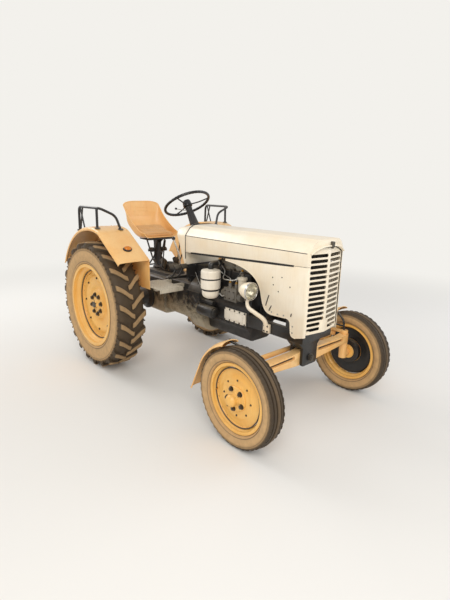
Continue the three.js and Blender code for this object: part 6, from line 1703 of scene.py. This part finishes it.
def makeExhaust(p):
    x, z, r, end = p["portX"], p["exhaustHeight"], p["silencerRadius"], p["silencerAt"]
    ports = [front + offset for front in p["headFronts"] for offset in p["ports"]]
    routes = [([at(x, y, z), at(x + 26, y, z)], 0.027, 0) for y in ports]
    routes += [([at(x + 30, -1430, z), at(x + 30, -1110, z)], 0.025, 0),
               ([at(x + 30, -1120, z), at(x + 30, -1090, z - 4), at(250, -1016, 910), at(end[0], -890, end[2] + 100),
                 at(end[0], end[1] + 10, end[2])], p["pipe"] / 1000, 0.07)]
    manifold = tubes("exhaust_manifold", routes, "darkSteel", 20)
    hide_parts("exhaust")
    silencer = softened([
        (0, 0), (26, 0, 3), (30, 10, 4), (r - 2, 14, 12), (r, 30, 2), (r, 60, 1), (r - 1.5, 62, 1), (r - 1.5, 66, 1),
        (r, 68, 1), (r, 310, 1), (r - 1.5, 312, 1), (r - 1.5, 316, 1), (r, 318, 1), (r, 350, 2), (r - 2, 366, 12),
        (30, 372, 4), (25, 378, 3), (24, 499, 1), (21, 499, 1), (21, 380, 1), (0, 378)], 2, 3)
    lathe("exhaust_silencer", mm(silencer), (0, 1, 0), at(*end), "darkSteel", 56)
    half = p["flangeHalf"]
    slabs("exhaust_flanges", [(at(x - 8, y - half, z - 23), at(x, y + half, z + 25))
                              for y in ports[::2] + ports[1::2]], 0.002, "darkSteel")
    screws("exhaust_flange_nuts", [(at(x, y + dy, z + 1), (1, 0, 0)) for y in ports for dy in (6 - half, half - 6)],
           0.006, 0.006, "brass")


def makeEngineDetail(p):
    x, filterX, filterY, pumpZ = p["pumpX"], p["filterX"], p["filterY"], p["pumpZ"]
    pipes, bolts, injectors, caps, near = [], [], bmesh.new(), bmesh.new(), p["injectorX"]
    for y, head in zip(p["outlets"], p["headFronts"]):
        injector = head + p["headLength"] / 2
        pipes.append(([at(x, y, 1004), at(x, y, 1036), at(x + 14, (y + injector) / 2, 1052), at(-150, injector, 1068),
                       at(near, injector, 1110)], 0.0042, 0.03))
    pipes += [([at(filterX + 20, filterY + 4, 1046), at(-176, filterY + 30, 1040), at(-178, -1430, 960),
                at(x, -1426, 930)], 0.005, 0.03),
              ([at(filterX, filterY + 40, 1058), at(-222, -1380, 1030), at(-226, -1240, 1022), at(-170, -1226, 1080),
                at(-150, -1100, 1160)], 0.005, 0.04),
              ([at(-118, -1460, 1110), at(-130, -1380, 1122), at(-130, -1150, 1122), at(-118, -1040, 1112)],
               0.0036, 0.03)]
    tubes("injection_pipes", pipes, "steel", 10)
    unions = [(at(x, y, 1000), upward) for y in p["outlets"]]
    unions += [(at(near, head + p["headLength"] / 2, 1094), upward) for head in p["headFronts"]]
    screws("pipe_unions", unions, 0.0105, 0.014, "brass")
    # injector bodies stand in the heads' near edge
    body = softened([(0, 0.022), (0.007, 0.022), (0.008, 0.004, 0.002), (0.015, 0.002, 0.001), (0.015, -0.004),
                     (0, -0.004)], 0.001, 2)
    for head in p["headFronts"]:
        spin(injectors, body, axisFrame(upward, at(near, head + p["headLength"] / 2, 1086)), 20)
        for dy in p["headBolts"]:
            bolts += [(at(side * 118, head + dy, p["headTop"]), upward) for side in (-1, 1)]
        bolts += [(at(side * 60, head + dy, p["coverTop"]), upward) for side in (-1, 1)
                  for dy in p["coverBolts"]]
    finishMesh("injectors", injectors, "steel", slot="grey_paint")
    screws("head_nuts", bolts, 0.0095, 0.01)
    cover = [at(p["sideCoverFace"], y, z) for y in (-1492, -1430, -1370, -1310, -1248) for z in (664, 760)]
    screws("side_cover_bolts", [(spot, (-1, 0, 0)) for spot in cover], 0.0062, 0.005)
    sumpX, sumpZ = p["sumpFlange"]
    screws("sump_bolts", [(at(side * sumpX, y, sumpZ), (side, 0, 0)) for side in (-1, 1)
                          for y in range(-1490, -980, 64)], 0.007, 0.006)
    pump = [(at(p["pumpFace"], y, z), (-1, 0, 0)) for y in (-1400, -1350, -1298) for z in (pumpZ + 24, pumpZ + 84)]
    pump += [(at(x - 24, y, pumpZ + 110), upward) for y in (-1412, -1350, -1286)]
    screws("pump_screws", pump, 0.0055, 0.0045, sides=10)
    # breather, filler cap, priming pump
    for place, size in ((at(40, -1370, 1150), 0.024), (at(-40, -1120, 1150), 0.02)):
        spin(caps, softened([(0, size * 1.1), (size, size, size * 0.2), (size * 1.05, size * 0.5, 0.002),
                             (size * 0.6, size * 0.4, 0.002), (size * 0.5, 0), (0, 0)], 0.002, 3),
             axisFrame(upward, place), 28)
    spin(caps, softened([(0, 0.018), (0.018, 0.016, 0.004), (0.02, 0.002, 0.002), (0.012, -0.004), (0, -0.004)],
                        0.002, 3), axisFrame(upward, at(filterX, filterY, 1084)), 24)
    finishMesh("filler_caps", caps, "darkSteel")
    tubes("control_rods", [
        ([at(-179, -1010, 745), at(-184, -1010, 820), at(-176, -1004, 905), at(-176, -1016, 915)], 0.0036, 0.02),
        ([at(-236, -1282, pumpZ + 40), at(-250, -1270, pumpZ + 30), at(-252, -1240, pumpZ + 50)], 0.0045, 0.01),
        ([at(-200, -1236, pumpZ + 60), at(-196, -1120, 830), at(-190, -900, 905), at(-150, -780, 1000)],
         0.0042, 0.05)], "steel", 10)
    tubes("cable_looms", [
        ([at(-232, -1010, 700), at(-240, -960, 740), at(-214, -900, 860), at(-120, -800, 1010)], 0.0075, 0.05),
        ([at(-150, -1500, 850), at(-168, -1400, 838), at(-168, -1100, 838), at(-150, -980, 900)], 0.0055, 0.04),
        ([at(150, -1500, 860), at(166, -1300, 840), at(166, -1050, 850), at(120, -960, 950)], 0.006, 0.05),
        ([at(p["dynamoX"] + 30, -1330, 880), at(p["dynamoX"], -1250, 930), at(164, -1150, 900)], 0.005, 0.04)],
        "rubber", 10)


def makeBellDetail(p):
    # ribs and bolts on the flywheel housing, an inspection cover on each flank
    ribs, covers, bolts = [], bmesh.new(), []
    cover = softened([(0, 0.008), (0.044, 0.008, 0.003), (0.047, 0.0, 0.001), (0.047, -0.003), (0, -0.003)], 0.001, 3)
    for side in (-1, 1):
        face = side * p["bellFace"]
        x0, x1 = sorted((face - side * 6, face + side * 7))
        ribs += [(at(x0, -957, z - 4), at(x1, -772, z + 4)) for z in (650, 842)]
        x0, x1 = sorted((face - side * 4, face + side * 5))
        ribs += [(at(x0, -958, 646), at(x1, -940, 846)), (at(x0, -790, 646), at(x1, -772, 846))]
        spin(covers, cover, axisFrame((side, 0, 0), at(face, *p["bellCover"])), 40)
        bolts += ringOf(at(face + side * 7, *p["bellCover"]), (side, 0, 0), 0.036, 4)
        bolts += [(at(face + side * 5, y, z), (side, 0, 0)) for y in (-949, -781) for z in (680, 745, 810)]
    slabs("bell_ribs", ribs, 0.003, "dustyIron")
    finishMesh("bell_covers", covers, "dustyIron")
    screws("bell_bolts", bolts, 0.007, 0.006)


makeAirCleaner(engine)
makeBellDetail(engine)
makeExhaust(engine)
makeEngineDetail(engine)
print("engine's fittings made")

# front axle, gear levers and footplates, sizes in mm

axleBeam = dict(front=-2006, rear=-1934, recess=24,
                web=[(150, 536), (500, 529), (520, 524), (520, 508), (500, 506), (150, 508)])
levers = dict(y=-330, rod=9)
# in metres; the last row is kept clear of the plate's rear edge
treadBars = dict(border=0.016, plain=0.13, apart=0.026, first=0.022, rowGap=0.019, clear=0.03, slant=0.8)


def makeAxle(p):
    # a forged I-beam: both faces are recessed between its flanges
    cuts, webShadePlates = [], bmesh.new()
    for side in (-1, 1):
        outline = softened([(side * x, z, 8) for x, z in p["web"]], 8, 4, closed=True)
        for low, high, floor in ((p["front"] - 10, p["front"] + p["recess"], p["front"] + p["recess"] - 1),
                                 (p["rear"] - p["recess"], p["rear"] + 10, p["rear"] - p["recess"] - 1)):
            cuts.append(("DIFFERENCE", prismMesh(outline, "y", low, high)))
            webShadePlates.from_mesh(prismMesh(outline, "y", floor, floor + 2))
    beam = sheetPiece("front_axle_beam", carve(nodes["front_axle"].data.copy(), *cuts), "orangeEnamel", 0.0035, 32)
    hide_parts("front_axle")
    # black plates on the recess floors: painted shade in the web
    finishMesh("front_axle_web_shade", webShadePlates, "blackEnamel")
    screws("front_axle_pivot_nut", [(at(0, -2045, 500), (0, -1, 0))], 0.024, 0.012)


def makeLevers(p):
    low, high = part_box("gear_levers")
    foot = Vector((0, at(0, p["y"], 0).y, low[2]))
    boot = [(0, 0), (0.052, 0, 0.002), (0.05, 0.008, 0.003), (0.042, 0.012, 0.003), (0.045, 0.02, 0.004),
            (0.033, 0.026, 0.003), (0.036, 0.034, 0.004), (0.024, 0.042, 0.003), (0.026, 0.05, 0.004),
            (0.012, 0.058, 0.002), (0, 0.06)]
    gaiter = lathe("gear_lever_gaiter", softened(boot, 0.002, 3), (0, 0, 1), foot, "rubber", 40, 60)
    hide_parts("gear_levers")
    top = Vector((-0.02, at(0, p["y"] + 80, 0).y, high[2] - 0.019))
    tubes("gear_lever_rod", [([foot + Vector((0, 0, 0.03)), Vector((0, foot.y, high[2] - 0.2)),
                               top - Vector((0, 0.004, 0.01))], p["rod"] / 1000, 0.06)], "steel", 14)
    ball = [(0.0195 * math.sin(math.pi * t / 20), -0.019 * math.cos(math.pi * t / 20)) for t in range(21)]
    lathe("gear_lever_knob", ball, (-0.1, 0.2, 1), top, "bakelite", 32, 60)


def makeTread(p):
    # raised bars, each row slanting against the next, pressed in the footplates
    apart, rowGap = p["apart"], p["rowGap"]
    for name, side in sides:
        low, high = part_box("footplate_" + name)
        seed = bmesh.new()
        edge = max(abs(low[0]), abs(high[0])) - p["border"]
        for row, slant in ((0, p["slant"]), (1, -p["slant"])):
            for k in range(int((high[0] - low[0] - p["plain"]) / apart)):
                x = side * (edge - apart * k - apart / 2 * row)
                spot = Vector((x, low[1] + p["first"] + rowGap * row, high[2]))
                slabInto(seed, (-0.0095, -0.0022, -0.0012), (0.0095, 0.0022, 0.0022),
                         Matrix.Translation(spot) @ Matrix.Rotation(slant, 4, "Z"))
        rows = int((high[1] - low[1] - p["clear"]) / (2 * rowGap))
        grow("footplate_tread_" + name, seed, "row", dict(Count=rows, Step=(0, 2 * rowGap, 0)), "greyEnamel")


makeAxle(axleBeam)
makeLevers(levers)
makeTread(treadBars)
print("axle, levers and tread made")

# what stands between the cowl and the seat, sizes in mm

driverSpace = dict(
    wallY=-716, wallThick=4, wallHalf=204, wallFoot=158, wallLow=893, wallTop=1068,
    ways=((-150, 958), (-112, 940), (118, 944), (148, 962)),
    housing=(-252, -34, 62, 986), pivot=(-150, 948), leverTilt=12,
    springs=74, springAt=82, springLow=1118, springHigh=1236, springRadius=27, springWire=5.5, springTurns=5,
    # share of the springs' distance from the middle, then places along the stay
    stays=((0.8, ((-92, 926), (10, 1010), (130, 1228))), (0.62, ((116, 926), (-6, 1040), (-74, 1228)))))


def pillow(shape, outline, half, inset, place):
    # an outline carried from -half to half with its rims drawn in
    middleU = sum(u for u, v in outline) / len(outline)
    middleV = sum(v for u, v in outline) / len(outline)
    rings = []
    for across, less in ((-half, inset), (-half + inset * 0.35, inset * 0.3), (-half + inset, 0), (half - inset, 0),
                         (half - inset * 0.35, inset * 0.3), (half, inset)):
        ring = []
        for u, v in outline:
            far = math.hypot(u - middleU, v - middleV)
            share = (far - less) / far
            ring.append(place @ Vector((middleU + (u - middleU) * share, middleV + (v - middleV) * share, across)))
        rings.append(ring)
    return loft(shape, rings, flip=True)


def makeBulkhead(p):
    # a pressed toe board under the cowl: rolled rim, swages, grommets with the hoses through them
    y, half, foot, low, top = (p[k] for k in ("wallY", "wallHalf", "wallFoot", "wallLow", "wallTop"))
    outline = [(-half, top, 6), (-half, low + 74, 16), (-foot, low + 34, 16), (-foot, low, 5), (foot, low, 5),
               (foot, low + 34, 16), (half, low + 74, 16), (half, top, 6)]
    outline = softened(outline, 4, 4, closed=True)
    finishMesh("bulkhead", pillow(bmesh.new(), mm(outline), p["wallThick"] / 2000, 0.001, upright(y)), "blackEnamel")
    rim = sweepLoop(bmesh.new(), [at(x, y, z) for x, z in outline], 0.0042, 8, True)
    for z in (top - 36, top - 62, top - 88):
        sweepLoop(rim, [at(x, y + 1.4, z) for x in (-half + 34, -40, 40, half - 34)], 0.0036, 8)
    finishMesh("bulkhead_swages", rim, "blackEnamel", 60)
    grommets = bmesh.new()
    grommet = softened([(0.006, -0.007), (0.013, -0.006, 0.002), (0.013, 0.006, 0.002), (0.006, 0.007)], 0.002, 3)
    for x, z in p["ways"]:
        spin(grommets, grommet + [(0.006, -0.007)], axisFrame((0, 1, 0), at(x, y, z)), 20)
    finishMesh("bulkhead_grommets", grommets, "rubber", 60)
    tubes("bulkhead_hoses", [([at(x, y - 60, z + 6), at(x, y + 26, z), at(x * 1.02, y + 60, z - 34),
                               at(x, y + 190, 908), at(x * 0.98, y + 330, 908)], 0.0052, 0.02) for x, z in p["ways"]],
          "rubber", 10)
    screws("bulkhead_screws", [(at(x, y + 3, z), (0, 1, 0)) for x in (-half + 14, half - 14)
                               for z in (top - 14, top - 52, top - 90)], 0.0065, 0.005)


def makeLiftHousing(p):
    # the lift's cast housing in front of the seat, its lever quadrants and the ratchet brake
    front, back, half, top = p["housing"]
    outline = softened([(front, 903, 2), (front + 2, 944, 22), (front + 44, top, 26), (back - 62, top, 30),
                        (back - 4, 946, 26), (back, 903, 2)], 4, 5, closed=True)
    along = Matrix(((0, 0, 1, 0), (1, 0, 0, rearAxleY), (0, 1, 0, 0), (0, 0, 0, 1)))
    casting = pillow(bmesh.new(), mm(outline), half / 1000, 0.006, along)
    spin(casting, softened([(0, 0.016), (0.03, 0.016, 0.004), (0.034, 0.003, 0.003), (0.034, -0.004), (0, -0.004)],
                           0.002, 3), axisFrame((0, 0, 1), at(0, p["pivot"][0], top)), 32)
    finishMesh("lift_housing", casting, "castIron")
    screws("lift_housing_bolts", [(at(x, y, top), (0, 0, 1)) for x in (-44, 44) for y in (front + 62, back - 76)]
           + [(at(side * half, y, 924), (side, 0, 0)) for side in (-1, 1) for y in (front + 28, back - 28)],
           0.008, 0.007)
    pivotY, pivotZ = p["pivot"]
    plates, rods, grips = bmesh.new(), [], bmesh.new()
    longGrip = softened([
        (0, 0.0), (0.011, 0.0, 0.002), (0.0125, 0.03, 0.01), (0.0115, 0.08, 0.01), (0.013, 0.112, 0.003),
        (0.005, 0.116, 0.001), (0.005, 0.128, 0.003), (0, 0.13)], 0.001, 3)
    knob = softened([(0, 0.04), (0.012, 0.036, 0.008), (0.017, 0.02, 0.01), (0.011, 0.004, 0.004), (0.008, -0.004),
                     (0, -0.004)], 0.002, 4)
    for side, spots in ((-1, (96,)), (1, (88, 112))):
        # a toothed sector, its ear on the housing
        sector = [(pivotY - 20, pivotZ - 22), (pivotY + 24, pivotZ - 22)]
        for i in range(29):
            angle, reach = math.radians(50 + 80 * i / 28), 96 + (3 if i % 2 else -1)
            sector.append((pivotY + reach * math.cos(angle), pivotZ + reach * math.sin(angle)))
        along[0][3] = side * 0.078
        pillow(plates, mm(sector), 0.0025, 0.0008, along)
        for n, x in enumerate(spots):
            x *= side
            lean = math.radians(p["leverTilt"] + 14 * n)

            def up(r):
                return at(x + side * r * 0.03, pivotY - r * math.sin(lean), pivotZ + r * math.cos(lean))

            rods.append(([at(side * 60, pivotY, pivotZ), at(x, pivotY, pivotZ), up(90), up(250)], 0.0065, 0.01))
            grip, start = (longGrip, 190) if side < 0 else (knob, 250)
            spin(grips, grip, axisFrame((up(250) - up(200)).normalized(), up(start)), 20)
    finishMesh("lever_sectors", plates, "darkSteel")
    tubes("hand_lever_rods", rods, "blackEnamel")
    finishMesh("hand_lever_grips", grips, "bakelite", 60)


def makeSeatSprings(p):
    # coil springs on a bar across the seat's leg, with crossed stay bars behind them
    y, low, high, turns, r = (p[k] for k in ("springAt", "springLow", "springHigh", "springTurns", "springRadius"))
    routes, cups, steps = [], bmesh.new(), turns * 20
    cup = softened([(0, 0.004), (0.03, 0.004, 0.002), (0.035, 0.009, 0.001), (0.037, 0.008, 0.001),
                    (0.036, -0.002, 0.002), (0, -0.002)], 0.001, 3)
    for side in (-1, 1):
        x, coil = side * p["springs"], []
        for i in range(steps + 1):
            rise, angle = min(1, max(0, (i / steps - 0.08) / 0.84)), 2 * math.pi * turns * (i / steps)
            coil.append(at(x + r * math.cos(angle), y + r * math.sin(angle), low + 8 + (high - low - 16) * rise))
        routes.append((coil, p["springWire"] / 1000, 0))
        for z, up in ((low, 1), (high, -1)):
            spin(cups, cup, axisFrame((0, 0, up), at(x, y, z)), 32)
        for share, spots in p["stays"]:
            routes.append(([at(x * share, y + dy, z) for dy, z in spots], 0.0085, 0.03))
    tubes("seat_springs", routes, "blackEnamel", 10)
    finishMesh("seat_spring_cups", cups, "darkSteel")
    # a tube frame under the pan carries it on the springs
    hoop = softened([(-168, 6, 40), (168, 6, 40), (150, 214, 50), (-150, 214, 50)], 4, 6, closed=True)
    finishMesh("seat_frame", sweepLoop(bmesh.new(), [at(x, back, 1231) for x, back in hoop], 0.0095, 12, True),
               "blackEnamel", 60)
    reach = p["springs"] + 34
    slabs("seat_spring_bar", [(at(-reach, y - 24, low - 14), at(reach, y + 24, low - 2)),
                              (at(-reach, y - 26, low - 30), at(reach, y - 20, low - 2)),
                              (at(-reach, y + 20, low - 30), at(reach, y + 26, low - 2))], 0.0025, "blackEnamel")
    slabs("seat_stay_feet", [(at(-reach + 8, y + back - 9, 918), at(reach - 8, y + back + 9, 932))
                             for back in (-92, 116)], 0.003, "blackEnamel")
    screws("seat_linkage_bolts", [(at(side * (reach - 14), y + back, 932), (0, 0, 1)) for side in (-1, 1)
                                  for back in (-92, 116)]
           + [(at(side * (reach - 10), y, low - 2), (0, 0, 1)) for side in (-1, 1)], 0.007, 0.006)


def makeRearCover():
    # the shaft cover, plugs and breather on the case's rear face
    face, behind = Vector(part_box("transmission")[1]).y, (0, 1, 0)
    plug = softened([(0, 0.014), (0.014, 0.014, 0.002), (0.015, 0.005, 0.001), (0.022, 0.004, 0.001), (0.022, -0.003),
                     (0, -0.003)], 0.001, 3)
    cover = spin(bmesh.new(), softened([
        (0, 0.03), (0.03, 0.03, 0.006), (0.036, 0.014, 0.004), (0.066, 0.012, 0.004), (0.086, 0.01, 0.003),
        (0.088, -0.004), (0, -0.004)], 0.002, 3), axisFrame(behind, Vector((0, face, 0.792))), 48)
    for x, z in ((-0.12, 0.66), (0.12, 0.8)):
        spin(cover, plug, axisFrame(behind, Vector((x, face, z))), 6)
    finishMesh("rear_shaft_cover", cover, "castIron")
    screws("rear_cover_bolts", ringOf(Vector((0, face + 0.009, 0.792)), behind, 0.076, 6)
           + [(Vector((x, face, z)), behind) for x in (-0.165, 0.165) for z in (0.56, 0.64, 0.72, 0.8)], 0.008, 0.007)


makeBulkhead(driverSpace)
makeRearCover()
makeLiftHousing(driverSpace)
makeSeatSprings(driverSpace)
print("driver's space made")

print("pieces finished")
